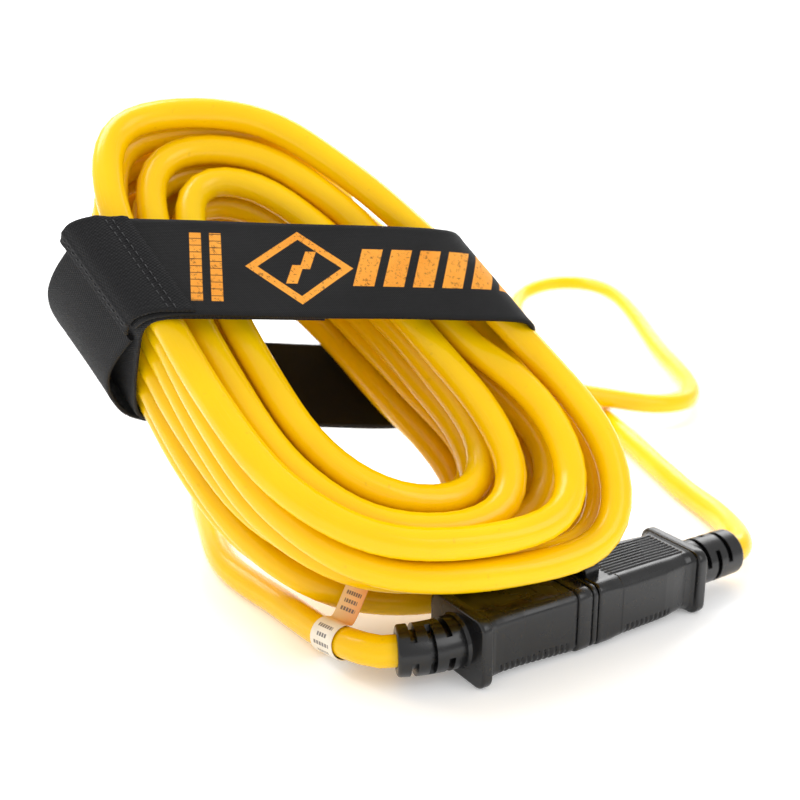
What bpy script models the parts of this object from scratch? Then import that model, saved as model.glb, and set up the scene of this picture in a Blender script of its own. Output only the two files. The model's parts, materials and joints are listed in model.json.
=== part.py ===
"""Shore power cord: a yellow 14/3 cable wound into an oblong coil, held by a
black hook-and-loop storage strap, with its straight-blade plug mated into its
own connector.

Frame: metres, +Z up, floor at z = 0, origin under the middle of the connector's
rear flange, where it rests on the floor.  The coil leans back (+Y) with its broad
end on the floor.  The mated plug and connector lie in front of it; the plug pulls
out along their axis.  Places below are measured from a point under the coil.
"""
from math import atan2, ceil, cos, pi, radians, sin

import bmesh
import bpy
import numpy as np
from mathutils import Matrix, Vector

MM = 0.001

# ---- cable -------------------------------------------------------------------
CABLE_R = 4.6 * MM             # jacket outside radius
JACKET_WALL = 1.0 * MM
CORE_OFFSET = 1.75 * MM        # conductor centre from the cable centre
CORE_R = 1.25 * MM             # insulated conductor
STRAND_GAP = 9.6 * MM          # least distance between two strands' centres
TAIL_SPLIT_GAP = 0.9 * MM      # between the moving plug tail and the cable

# ---- coil ----------------------------------------------------------------------
COIL_TURNS = 16
COLUMNS = 3                    # strands side by side in one layer
POINTS_PER_TURN = 10
FIRST_LANE = 2                 # the lowest layer starts with its inner lane
LAYER_PITCH = 10.0 * MM
COLUMN_PITCH = 9.6 * MM
COIL_AZIMUTH = radians(-19)    # where the coil's length points, seen from above
COIL_LEAN = radians(45)        # coil plane to the floor
COIL_ROLL = radians(3)
COIL_NEAR = np.array([-12.5, -109.2, 32.3]) * MM   # broad end of the top layer
COIL_HALF_LENGTH = 77 * MM
COIL_HALF_WIDTH = 46.5 * MM
COIL_SHEAR = 0.45              # the far end leans to the left
COIL_TAPER = 0.24              # the near end is broader

# ---- plug and connector, along their common axis --------------------------------
PAIR_YAW = radians(32.6)
PLUG_LENGTH = 60 * MM
PLUG_BOOT = 18 * MM
PLUG_BOOT_TURN = radians(26)   # the flexible boot gives way towards the coil
CONNECTOR_LENGTH = 66 * MM
CONNECTOR_BOOT = 23 * MM
BOOT_R = 7.6 * MM
BOOT_BORE_R = 5.1 * MM
FACE_W, FACE_H = 24 * MM, 19.8 * MM
FLANGE_W, FLANGE_H, FLANGE_T = 26 * MM, 21 * MM, 3.6 * MM
FLANGE_CORNER, FACE_CORNER, CAVITY_CORNER = 4.5 * MM, 4 * MM, 2.1 * MM
RIM = 1 * MM                   # bevel on the rims of the flanges
FACE_EDGE = 0.5 * MM           # and of the two faces
SEAM = np.array([41.0 * MM, -79.0 * MM, FLANGE_H / 2])   # where the two faces meet
WAIST_W, WAIST_H = 20.4 * MM, 18.2 * MM
CAVITY_W, CAVITY_H = 21.6 * MM, 17.8 * MM
LEAD_ROOM_W, LEAD_ROOM_H = 18.8 * MM, 16.9 * MM      # cavity behind the plug's insert
INSERT_DEPTH = 9 * MM
BLOCK_DEPTH = 23 * MM
COLLAR = 7 * MM
PAIR_REACH = 15.4 * MM         # flange corners, with room to spare
GAP = 0.3 * MM
CRIMP_R, CRIMP_BORE_R, CRIMP_LENGTH = 1.9 * MM, 1.45 * MM, 5 * MM

# ---- blades, NEMA 5-15 ------------------------------------------------------------
BLADE_T, BLADE_W, BLADE_OUT = 1.5 * MM, 6.35 * MM, 17.5 * MM
BLADE_SPACING = 12.7 * MM
GROUND_R, GROUND_OUT = 2.38 * MM, 20.5 * MM
GROUND_DROP = 11.9 * MM
BLADE_Y = 5.7 * MM             # blade centres to the far side of the axis
BLADE_BACK = 15 * MM           # length behind the face
CONTACT_HALF, CONTACT_LEAF = 1.6 * MM, 0.5 * MM      # spring contact: half height, leaf
CONTACT_SLEEVE_R, CONTACT_BORE_R = 3.3 * MM, 2.7 * MM

# ---- strap ---------------------------------------------------------------------------
STRAP_W = 32 * MM
STRAP_T = 1.2 * MM
STRAP_ALONG = 89 * MM          # strap centre along the coil from its near end
STRAP_TURN = radians(23)       # the strap bends over its edges along the strands
STRAP_SLANT = -0.58            # and runs across them at this slope
STRAP_CLEAR = 1.2 * MM
HANG_LOOP_BULGE = 5 * MM

# ---- label -------------------------------------------------------------------------------
FLAG_LENGTH = 12 * MM
LABEL_W = 11 * MM
LABEL_T = 0.25 * MM

CORE_ANGLES = (pi / 3, -pi / 3, pi)    # line, neutral, ground; seen along the axis
COLLECTION = "shore_power_cord"


# ---- scene helpers ------------------------------------------------------------------
def clear_scene():
    for obj in list(bpy.data.objects):
        bpy.data.objects.remove(obj, do_unlink=True)


def new_collection(name):
    coll = bpy.data.collections.new(name)
    bpy.context.scene.collection.children.link(coll)
    return coll


def material(name, rgb, roughness, metallic=0.0):
    mat = bpy.data.materials.new(name)
    mat.use_nodes = True
    shader = mat.node_tree.nodes["Principled BSDF"]
    shader.inputs["Base Color"].default_value = (*rgb, 1.0)
    shader.inputs["Roughness"].default_value = roughness
    shader.inputs["Metallic"].default_value = metallic
    mat.diffuse_color = (*rgb, 1.0)
    return mat


def place(obj, coll, mat, parent=None):
    coll.objects.link(obj)
    if mat is not None:
        obj.data.materials.append(mat)
    if parent is not None:
        obj.parent = parent
    return obj


def mesh_object(name, bm, coll, mat, parent=None, smooth=False):
    bmesh.ops.recalc_face_normals(bm, faces=bm.faces)
    mesh = bpy.data.meshes.new(name)
    bm.to_mesh(mesh)
    bm.free()
    if smooth:
        mesh.shade_smooth()
        mesh.set_sharp_from_angle(angle=radians(35))
    return place(bpy.data.objects.new(name, mesh), coll, mat, parent)


def empty(name, matrix, coll, parent=None):
    obj = bpy.data.objects.new(name, None)
    obj.empty_display_size = 0.01
    coll.objects.link(obj)
    if parent is not None:
        obj.parent = parent
    obj.matrix_local = matrix
    return obj


def boolean(obj, cutter, operation):
    mod = obj.modifiers.new(operation.lower(), "BOOLEAN")
    mod.operation = operation
    mod.solver = "EXACT"
    mod.object = cutter


def hide_cutter(obj):
    obj.hide_render = True
    obj.display_type = "WIRE"
    return obj


# ---- small vector helpers ---------------------------------------------------------
def unit(v):
    return v / np.linalg.norm(v)


def ease(t):
    t = min(max(t, 0.0), 1.0)
    return t * t * (3 - 2 * t)


def signed_power(x, e):
    return np.sign(x) * abs(x) ** e


def pair_point(x, y=0.0, z=0.0):
    """A point of the plug and connector's frame in the world."""
    c, s = cos(PAIR_YAW), sin(PAIR_YAW)
    return SEAM + np.array([c * x - s * y, s * x + c * y, z])


def boot_bend(x, y=0.0, z=0.0):
    """The plug's point (x, y, z) once its boot has given way."""
    run = -PLUG_LENGTH + PLUG_BOOT - x
    if run <= 0:
        return x, y, z
    radius = PLUG_BOOT / PLUG_BOOT_TURN
    turn = PLUG_BOOT_TURN * min(run / PLUG_BOOT, 1)
    past = max(run - PLUG_BOOT, 0.0)
    bent_x = x + run - radius * sin(turn) - past * cos(turn) + y * sin(turn)
    bent_y = radius * (1 - cos(turn)) + past * sin(turn) + y * cos(turn)
    return bent_x, bent_y, z


def coil_axes():
    """Unit vectors along the coil (to its far end), across it and out of its top."""
    level = np.array([sin(COIL_AZIMUTH), cos(COIL_AZIMUTH), 0.0])
    along = level * cos(COIL_LEAN) + np.array([0, 0, sin(COIL_LEAN)])
    right = np.array([cos(COIL_AZIMUTH), -sin(COIL_AZIMUTH), 0.0])
    up = np.cross(right, along)
    across = right * cos(COIL_ROLL) + up * sin(COIL_ROLL)
    return along, across, np.cross(across, along)


# ---- cable path -----------------------------------------------------------------------
def lane(index):
    """Column and layer of a turn: wound to and fro across each layer."""
    layer, k = divmod(index, COLUMNS)
    return (k if layer % 2 == 0 else COLUMNS - 1 - k), layer


def coil_point(step):
    """One point of the winding; a turn goes right side, near end, left, far end."""
    turn, k = divmod(step, POINTS_PER_TURN)
    phi = 2 * pi * k / POINTS_PER_TURN
    index = turn + FIRST_LANE
    top_layer = (COIL_TURNS + FIRST_LANE - 1) // COLUMNS
    column_a, layer_a = lane(index)
    column_b, layer_b = lane(index + 1)
    if index + 1 > COIL_TURNS + FIRST_LANE - 1:
        column_b, layer_b = column_a, layer_a
    t = ease((k - 1.0) / (0.4 * POINTS_PER_TURN))
    column = column_a + (column_b - column_a) * t
    depth = top_layer - (layer_a + (layer_b - layer_a) * t)
    near = max(0.0, sin(phi))
    near_right = near * (0.5 + 0.5 * max(0.0, cos(phi)))
    long_part = signed_power(sin(phi), 0.76)
    q = -(COIL_HALF_LENGTH - (COLUMN_PITCH - 1.5 * MM) * column) * long_part
    p = (COIL_HALF_WIDTH - COLUMN_PITCH * column) * signed_power(cos(phi), 0.54 + 0.12 * column)
    p = p * (1 + COIL_TAPER * long_part) - COIL_SHEAR * q * (1 - 0.1 * column)
    q += COIL_HALF_LENGTH - 2 * MM + 1.2 * MM * column
    q += near * depth * 3.0 * MM                  # lower turns stand on the floor
    p += near_right * 5.0 * MM * sin(2.4 * turn + 0.7)
    q += near_right * 3.0 * MM * sin(1.7 * turn + 1.9)
    h = -depth * LAYER_PITCH + near_right * 3.0 * MM * sin(2.9 * turn)
    return coil_place(q, p, h)


def coil_place(q, p, h):
    """A place measured along the coil, across it and out of its top."""
    along, across, up = coil_axes()
    return COIL_NEAR + along * q + across * p + up * h


def smooth_through(points, spacing, first, last):
    """Catmull-Rom curve through the points, resampled from one of them to another."""
    pts = np.array(points)
    ends = np.vstack([2 * pts[0] - pts[1], pts, 2 * pts[-1] - pts[-2]])
    fine = []
    for i in range(first, last):
        p0, p1, p2, p3 = ends[i:i + 4]
        for t in np.linspace(0, 1, 24, endpoint=False):
            fine.append(0.5 * (2 * p1 + (p2 - p0) * t + (2 * p0 - 5 * p1 + 4 * p2 - p3) * t * t
                               + (3 * p1 - p0 - 3 * p2 + p3) * t ** 3))
    fine.append(pts[last])
    fine = np.array(fine)
    run = np.concatenate([[0], np.cumsum(np.linalg.norm(np.diff(fine, axis=0), axis=1))])
    marks = np.linspace(0, run[-1], max(2, ceil(run[-1] / spacing) + 1))
    return [np.array([np.interp(m, run, fine[:, a]) for a in range(3)]) for m in marks]


def on_floor(places):
    """Centres of a cable lying on the floor, or lifted off it, from places in mm."""
    return [np.array([x * MM, y * MM, CABLE_R + (0.1 + lift) * MM]) for x, y, lift in places]


def plug_tail():
    """Floor part of the plug's tail, then its climb to the coil's far end."""
    return on_floor((
        (-20.5, -104.5, 4.8), (-26.5, -98, 3.4), (-31.7, -91, 2), (-43, -74, 0.3), (-53.4, -60, 0),
        (-67, -42, 0), (-76, -14, 0), (-83, 13, 0), (-88, 36, 5), (-96, 52, 24), (-106, 60, 48),
        (-108, 55, 71), (-98, 45, 89)))


def connector_tail():
    """From the coil's far end down to the floor, and one open loop behind the coil."""
    drop = [coil_place(q * MM, p * MM, h * MM) for q, p, h in (
        (144, 4, -8), (132, 16, -28), (118, 22, -50), (102, 22, -64))]
    return drop + on_floor((
        (-2, 36, 34), (20, 64, 25), (42, 88, 16), (62, 102, 8), (86, 108, 2), (108, 110, 0), (122, 126, 0),
        (128, 160, 0), (126, 215, 2), (122, 270, 9), (112, 306, 14), (92, 318, 15), (68, 312, 12),
        (58, 285, 6), (62, 240, 1), (70, 180, 0), (79, 125, 0), (90, 65, 0), (99, 18, 0),
        (105, -12, 2)))


def nearest_on_segments(a0, a1, b0, b1):
    """Shares s, t along two sets of segments where they come closest."""
    da, db, r = a1 - a0, b1 - b0, a0 - b0
    aa, bb, ab = (da * da).sum(1), (db * db).sum(1), (da * db).sum(1)
    ar, br = (da * r).sum(1), (db * r).sum(1)
    spread = aa * bb - ab * ab
    s = np.where(spread > 1e-15, (ab * br - ar * bb) / np.maximum(spread, 1e-15), 0.5)
    s = np.clip(s, 0, 1)
    t = np.clip((ab * s + br) / bb, 0, 1)
    s = np.clip((ab * t - ar) / aa, 0, 1)
    return s, t


def push_from_pair(path, free):
    """Moves points out of the plug and connector's round envelope."""
    start, end = pair_point(-PLUG_LENGTH), pair_point(CONNECTOR_LENGTH)
    axis = end - start
    t = np.clip((path - start) @ axis / (axis @ axis), 0, 1)
    away = path - (start + t[:, None] * axis)
    dist = np.linalg.norm(away, axis=1)
    reach = PAIR_REACH + CABLE_R
    short = (dist < reach) & free
    path[short] += away[short] / dist[short, None] * (reach - dist[short])[:, None]


def settle(path, free, rounds=260):
    """Moves strands apart until none of them touch, keeping the winding's shape."""
    path, start = path.copy(), path.copy()
    count = len(path)
    first, second = np.triu_indices(count - 1, 3)
    for step in range(rounds):
        s, t = nearest_on_segments(path[first], path[first + 1], path[second], path[second + 1])
        pa = path[first] + s[:, None] * (path[first + 1] - path[first])
        pb = path[second] + t[:, None] * (path[second + 1] - path[second])
        apart = pb - pa
        dist = np.linalg.norm(apart, axis=1)
        near = dist < STRAND_GAP
        if not near.any():
            break
        move = apart[near] / np.maximum(dist[near], 1e-7)[:, None]
        move *= ((STRAND_GAP - dist[near]) * 0.5)[:, None]
        push, weight = np.zeros_like(path), np.zeros(count)
        for index, share, side in ((first[near], 1 - s[near], -1), (first[near] + 1, s[near], -1),
                                   (second[near], 1 - t[near], 1), (second[near] + 1, t[near], 1)):
            np.add.at(push, index, side * move * share[:, None])
            np.add.at(weight, index, share)
        push /= np.maximum(weight, 1)[:, None]
        path[free] += 1.2 * push[free]
        if step < 0.7 * rounds:
            bend = np.zeros_like(path)
            bend[1:-1] = (path[:-2] + path[2:] - start[:-2] - start[2:]) / 2 - path[1:-1] + start[1:-1]
            path[free] += 0.15 * bend[free]
        push_from_pair(path, free)
        path[free, 2] = np.maximum(path[free, 2], CABLE_R + 0.1 * MM)
    return path


def cable_path():
    """Centreline of the whole cable, and the index where the plug's tail ends."""
    leave = -2                                   # far end of the lowest turn
    last = COIL_TURNS * POINTS_PER_TURN - 1      # far end of the top turn
    coil = [coil_point(step) for step in range(leave, last)]
    into_plug = [pair_point(*boot_bend(step * MM - PLUG_LENGTH)) for step in (24, 17, 10, 3, -4)]
    into_connector = [pair_point(CONNECTOR_LENGTH - step * MM) for step in (-4, 10, 24)]
    way_in = into_plug[-2:] + plug_tail() + coil[:2]
    way_out = coil[-2:] + connector_tail() + into_connector[:2]
    tail_in = smooth_through(way_in, 13 * MM, 1, len(way_in) - 2)
    tail_out = smooth_through(way_out, 21 * MM, 1, len(way_out) - 2)
    path = np.vstack([into_plug[:-1], tail_in, coil[1:-1], tail_out, into_connector[1:]])
    free = np.ones(len(path), bool)
    free[:11] = False
    free[-6:] = False
    split = 8
    return settle(path, free), split


def frames_along(path):
    """Two unit vectors square to the path at each point, carried without twist."""
    ahead = np.gradient(path, axis=0)
    ahead /= np.linalg.norm(ahead, axis=1)[:, None]
    side = unit(np.cross([0, 0, 1.0], ahead[0]))
    sides = []
    for direction in ahead:
        side = unit(side - direction * (side @ direction))
        sides.append(side)
    sides = np.array(sides)
    return sides, np.cross(ahead, sides)


# ---- part makers ---------------------------------------------------------------------
def wire(name, points, radius, ring_detail, coll, mat, parent, capped=True):
    """A poly curve with a round bevel, turned into a mesh."""
    curve = bpy.data.curves.new(name + "_curve", "CURVE")
    curve.dimensions = "3D"
    curve.bevel_depth = radius
    curve.bevel_resolution = ring_detail
    curve.use_fill_caps = capped
    curve.resolution_u = 1
    curve.render_resolution_u = 0
    spline = curve.splines.new("POLY")
    spline.points.add(len(points) - 1)
    for slot, point in zip(spline.points, points):
        slot.co = (*point, 1.0)
    source = bpy.data.objects.new(name + "_curve", curve)
    coll.objects.link(source)
    bpy.context.view_layer.update()
    graph = bpy.context.evaluated_depsgraph_get()
    mesh = bpy.data.meshes.new_from_object(source.evaluated_get(graph))
    bpy.data.objects.remove(source, do_unlink=True)
    bpy.data.curves.remove(curve)
    bm = bmesh.new()
    bm.from_mesh(mesh)
    bpy.data.meshes.remove(mesh)
    bmesh.ops.remove_doubles(bm, verts=bm.verts, dist=1e-6)
    return mesh_object(name, bm, coll, mat, parent, smooth=True)


def jacket(name, points, coll, mat, parent):
    """The cable's sheath: a tube open at both ends."""
    obj = wire(name, points, CABLE_R, 2, coll, mat, parent, capped=False)
    shell = obj.modifiers.new("wall", "SOLIDIFY")
    shell.thickness = JACKET_WALL
    shell.offset = -1
    return obj


def rounded_ring(x, half_w, half_h, corner, per_corner=5):
    """A rounded rectangle square to the pair's axis, as points."""
    corner = min(corner, half_w, half_h)
    points = []
    for quarter, (sy, sz) in enumerate(((1, 1), (-1, 1), (-1, -1), (1, -1))):
        for k in range(per_corner):
            angle = quarter * pi / 2 + (k / (per_corner - 1)) * pi / 2
            y = sy * (half_w - corner) + corner * cos(angle)
            z = sz * (half_h - corner) + corner * sin(angle)
            points.append((x, y, z))
    return points


def loft(name, stations, coll, mat, parent=None, closed=True, bend=None):
    """Joins rings; a closed loft runs along the outside and back along the bore."""
    bm = bmesh.new()
    rings = [[bm.verts.new(bend(*p) if bend else p) for p in rounded_ring(*s)] for s in stations]
    count = len(rings[0])
    pairs = list(zip(rings, rings[1:]))
    if closed:
        pairs.append((rings[-1], rings[0]))
    else:
        bm.faces.new(list(reversed(rings[0])))
        bm.faces.new(rings[-1])
    for ring_a, ring_b in pairs:
        for k in range(count):
            n = (k + 1) % count
            bm.faces.new((ring_a[k], ring_a[n], ring_b[n], ring_b[k]))
    return mesh_object(name, bm, coll, mat, parent, smooth=True)


def block(name, size, centre, coll, mat, parent=None, bevel=0.0):
    bm = bmesh.new()
    bmesh.ops.create_cube(bm, size=1.0, matrix=Matrix.Diagonal((*size, 1.0)))
    obj = mesh_object(name, bm, coll, mat, parent)
    obj.location = centre
    if bevel > 0:
        mod = obj.modifiers.new("edges", "BEVEL")
        mod.width = bevel
        mod.segments = 1
    return obj


def rod(name, radius, x0, x1, y, z, coll, mat, parent=None, sides=16, nose=0.0):
    """A round bar along the pair's axis, its far end narrowed by nose."""
    bm = bmesh.new()
    turn = Matrix.Rotation(pi / 2, 4, "Y")
    bmesh.ops.create_cone(bm, cap_ends=True, segments=sides, radius1=radius, radius2=radius,
                          depth=x1 - x0 - nose, matrix=turn)
    if nose > 0:
        front = [f for f in bm.faces if f.normal.x > 0.9]
        extruded = bmesh.ops.extrude_face_region(bm, geom=front)
        tip = [v for v in extruded["geom"] if isinstance(v, bmesh.types.BMVert)]
        bmesh.ops.translate(bm, verts=tip, vec=(nose, 0, 0))
        bmesh.ops.scale(bm, verts=tip, vec=(1, 0.45, 0.45))
        bmesh.ops.delete(bm, geom=front, context="FACES_ONLY")
    obj = mesh_object(name, bm, coll, mat, parent, smooth=True)
    obj.location = ((x0 + x1 - nose) / 2, y, z)
    return obj


def sleeve(name, outer, inner, x0, x1, y, z, coll, mat, parent, back_wall=0.0, sides=14):
    """A turned tube along the pair's axis, with an optional closed back."""
    if back_wall > 0:
        profile = [(inner, x0), (outer, x0), (outer, x1), (0, x1), (0, x1 - back_wall),
                   (inner, x1 - back_wall)]
    else:
        profile = [(inner, x0), (outer, x0), (outer, x1), (inner, x1)]
    bm = bmesh.new()
    verts = [bm.verts.new((0, r, x)) for r, x in profile]
    edges = [bm.edges.new((a, b)) for a, b in zip(verts, verts[1:])]
    if back_wall > 0:
        edges.append(bm.edges.new((verts[-1], verts[0])))
        edges = [e for e in edges if not all(v.co.y == 0 for v in e.verts)]
        bmesh.ops.delete(bm, geom=[e for e in bm.edges if e not in edges], context="EDGES")
    else:
        edges.append(bm.edges.new((verts[-1], verts[0])))
    bmesh.ops.spin(bm, geom=list(bm.verts) + list(bm.edges), axis=(0, 0, 1), cent=(0, 0, 0),
                   angle=2 * pi, steps=sides, use_merge=True)
    bmesh.ops.remove_doubles(bm, verts=bm.verts, dist=1e-6)
    bmesh.ops.rotate(bm, verts=bm.verts, cent=(0, 0, 0),
                     matrix=Matrix(((0, 0, 1), (0, 1, 0), (-1, 0, 0))))
    obj = mesh_object(name, bm, coll, mat, parent, smooth=True)
    obj.location = (0, y, z)
    return obj


def ribbon(name, outline, width, thickness, coll, mat, parent=None, offset=1.0, slant=0.0):
    """A flat strip following an outline in its own XZ plane, slanted along Y."""
    bm = bmesh.new()
    half = width / 2 * (1 + slant * slant) ** 0.5
    rows = [[bm.verts.new((x, y + slant * x, z)) for y in (-half, half)] for x, z in outline]
    for a, b in zip(rows, rows[1:]):
        bm.faces.new((a[0], a[1], b[1], b[0]))
    mesh = bpy.data.meshes.new(name)
    bm.to_mesh(mesh)
    bm.free()
    obj = place(bpy.data.objects.new(name, mesh), coll, mat, parent)
    shell = obj.modifiers.new("thickness", "SOLIDIFY")
    shell.thickness = thickness
    shell.offset = offset
    shell.use_even_offset = True
    return obj


# ---- plug ------------------------------------------------------------------------------
def poles():
    """Name, place across and height of the three poles; the pair lies on its side."""
    return (("line", BLADE_Y, BLADE_SPACING / 2), ("neutral", BLADE_Y, -BLADE_SPACING / 2),
            ("ground", BLADE_Y - GROUND_DROP, 0.0))


def plug_overmold(coll, mat, parent):
    tail, root = -PLUG_LENGTH, -PLUG_LENGTH + PLUG_BOOT
    waist = (root + FLANGE_T - COLLAR) / 2
    stations = []
    for k in range(4):                            # boot with three grooves
        x = tail + k * PLUG_BOOT / 4
        grow = BOOT_R * (0.93 + 0.07 * k / 3)
        stations += [(x, grow, grow, grow), (x + 3.2 * MM, grow, grow, grow)]
        if k < 3:
            dip = grow - 1.1 * MM
            stations += [(x + 3.6 * MM, dip, dip, dip), (x + 4.5 * MM, dip, dip, dip)]
    stations += [
        (root, FLANGE_W / 2 - RIM, FLANGE_H / 2 - RIM, FLANGE_CORNER - RIM),
        (root + RIM, FLANGE_W / 2, FLANGE_H / 2, FLANGE_CORNER),
        (root + FLANGE_T - RIM, FLANGE_W / 2, FLANGE_H / 2, FLANGE_CORNER),
        (root + FLANGE_T, WAIST_W / 2 + 0.6 * MM, WAIST_H / 2 + 0.4 * MM, FACE_CORNER),
        (waist, WAIST_W / 2, WAIST_H / 2, FACE_CORNER),
        (-COLLAR - RIM, FACE_W / 2 - 0.6 * MM, FACE_H / 2 - 0.4 * MM, FACE_CORNER),
        (-COLLAR, FACE_W / 2, FACE_H / 2, FACE_CORNER),
        (-FACE_EDGE, FACE_W / 2, FACE_H / 2, FACE_CORNER),
        (0, FACE_W / 2 - FACE_EDGE, FACE_H / 2 - FACE_EDGE, FACE_CORNER - FACE_EDGE),
        (0, CAVITY_W / 2, CAVITY_H / 2, CAVITY_CORNER),
        (-INSERT_DEPTH, CAVITY_W / 2, CAVITY_H / 2, CAVITY_CORNER),
        (-INSERT_DEPTH - RIM, LEAD_ROOM_W / 2, LEAD_ROOM_H / 2, CAVITY_CORNER),
        (root + 8 * MM, LEAD_ROOM_W / 2, LEAD_ROOM_H / 2, CAVITY_CORNER)]
    stations += [(root + step * PLUG_BOOT, BOOT_BORE_R, BOOT_BORE_R, BOOT_BORE_R)
                 for step in (0.12, 0, -0.25, -0.5, -0.75, -1)]
    return loft("plug_overmold", stations, coll, mat, parent, bend=boot_bend)


def slot_cutter(name, x0, x1, y, z, w, h, cutters, parent):
    obj = block(name, (x1 - x0, w, h), ((x0 + x1) / 2, y, z), cutters, None, parent)
    return hide_cutter(obj)


def plug_insert(coll, cutters, mat, parent):
    back, front = -INSERT_DEPTH + 0.2 * MM, -0.2 * MM
    section = (CAVITY_W / 2 - GAP, CAVITY_H / 2 - GAP, CAVITY_CORNER - GAP)
    obj = loft("plug_insert", [(back, *section), (front, *section)], coll, mat, parent,
               closed=False)
    for pole, y, z in poles():
        if pole == "ground":
            cut = hide_cutter(rod("cut_insert_ground", GROUND_R + GAP, back - 1 * MM, 1 * MM,
                                  y, z, cutters, None, parent))
        else:
            cut = slot_cutter("cut_insert_" + pole, back - 1 * MM, 1 * MM, y, z,
                              BLADE_W + 2 * GAP, BLADE_T + 2 * GAP, cutters, parent)
        boolean(obj, cut, "DIFFERENCE")
    return obj


def plug_blades(coll, brass, parent):
    for pole, y, z in poles():
        if pole == "ground":
            rod("plug_ground_pin", GROUND_R, -BLADE_BACK, GROUND_OUT, y, z, coll, brass, parent,
                nose=2 * MM)
        else:
            block("plug_" + pole + "_blade", (BLADE_BACK + BLADE_OUT, BLADE_W, BLADE_T),
                  ((BLADE_OUT - BLADE_BACK) / 2, y, z), coll, brass, parent, 0.4 * MM)


def crimps(prefix, x_near, direction, coll, mat, parent):
    """A crimp barrel round each conductor's end, behind its blade or contact."""
    for pole, y, z in poles():
        x0, x1 = sorted((x_near, x_near + direction * CRIMP_LENGTH))
        sleeve(prefix + "_" + pole + "_crimp", CRIMP_R, CRIMP_BORE_R, x0, x1, y, z, coll, mat,
               parent, sides=10)


# ---- connector -----------------------------------------------------------------------
def connector_overmold(coll, cutters, mat, parent):
    end = CONNECTOR_LENGTH
    root = end - CONNECTOR_BOOT
    flange = root - FLANGE_T
    stations = [
        (GAP, FACE_W / 2 - FACE_EDGE, FACE_H / 2 - FACE_EDGE, FACE_CORNER - FACE_EDGE),
        (GAP + FACE_EDGE, FACE_W / 2, FACE_H / 2, FACE_CORNER),
        (flange - RIM, FACE_W / 2 - 0.4 * MM, FACE_H / 2 - 0.4 * MM, FACE_CORNER),
        (flange, FLANGE_W / 2, FLANGE_H / 2, FLANGE_CORNER),
        (root - RIM, FLANGE_W / 2, FLANGE_H / 2, FLANGE_CORNER),
        (root, FLANGE_W / 2 - RIM, FLANGE_H / 2 - RIM, FLANGE_CORNER - RIM)]
    for k in range(4):                            # boot with three grooves
        x = root + k * CONNECTOR_BOOT / 4
        grow = BOOT_R * (1.0 - 0.07 * k / 3)
        if k > 0:
            dip = grow - 1.1 * MM
            stations += [(x - 1.3 * MM, dip, dip, dip), (x - 0.4 * MM, dip, dip, dip)]
        stations += [(x, grow, grow, grow), (x + CONNECTOR_BOOT / 4 - 1.8 * MM, grow, grow, grow)]
    stations += [
        (end, BOOT_R * 0.9, BOOT_R * 0.9, BOOT_R),
        (end, BOOT_BORE_R, BOOT_BORE_R, BOOT_BORE_R),
        (root - 2 * MM, BOOT_BORE_R, BOOT_BORE_R, BOOT_BORE_R),
        (flange - 3 * MM, CAVITY_W / 2, CAVITY_H / 2, CAVITY_CORNER),
        (GAP, CAVITY_W / 2, CAVITY_H / 2, CAVITY_CORNER)]
    obj = loft("connector_overmold", stations, coll, mat, parent)
    boolean(obj, locking_tab(cutters, parent), "UNION")
    return obj


def locking_tab(cutters, parent):
    """Half-round finger tab on the connector's top, beside the plug's collar."""
    bm = bmesh.new()
    radius, depth, foot = 5.2 * MM, 5.5 * MM, 1.6 * MM
    arc = [(radius * cos(pi * k / 12), radius * sin(pi * k / 12)) for k in range(13)]
    outline = [(radius, -foot)] + arc + [(-radius, -foot)]
    verts = [bm.verts.new((0, y, z)) for y, z in outline]
    face = bm.faces.new(verts)
    swept = bmesh.ops.extrude_face_region(bm, geom=[face])
    bmesh.ops.translate(bm, verts=[v for v in swept["geom"] if isinstance(v, bmesh.types.BMVert)],
                        vec=(depth, 0, 0))
    obj = mesh_object("add_locking_tab", bm, cutters, None, parent)
    obj.location = (0.4 * MM, 0, FACE_H / 2 + 1.0 * MM)
    return hide_cutter(obj)


def contact_block(coll, cutters, mat, parent):
    section = (CAVITY_W / 2 - GAP, CAVITY_H / 2 - GAP, CAVITY_CORNER - GAP)
    obj = loft("connector_contact_block", [(0.5 * MM, *section), (BLOCK_DEPTH, *section)],
               coll, mat, parent, closed=False)
    for pole, y, z in poles():
        if pole == "ground":
            cut = hide_cutter(rod("cut_block_ground", CONTACT_SLEEVE_R + 0.4 * MM, 0,
                                  BLOCK_DEPTH + 1 * MM, y, z, cutters, None, parent))
        else:
            cut = slot_cutter("cut_block_" + pole, 0, BLOCK_DEPTH + 1 * MM, y, z,
                              BLADE_W + 1.2 * MM, 2 * CONTACT_HALF + 0.6 * MM, cutters, parent)
        boolean(obj, cut, "DIFFERENCE")
    return obj


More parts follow.
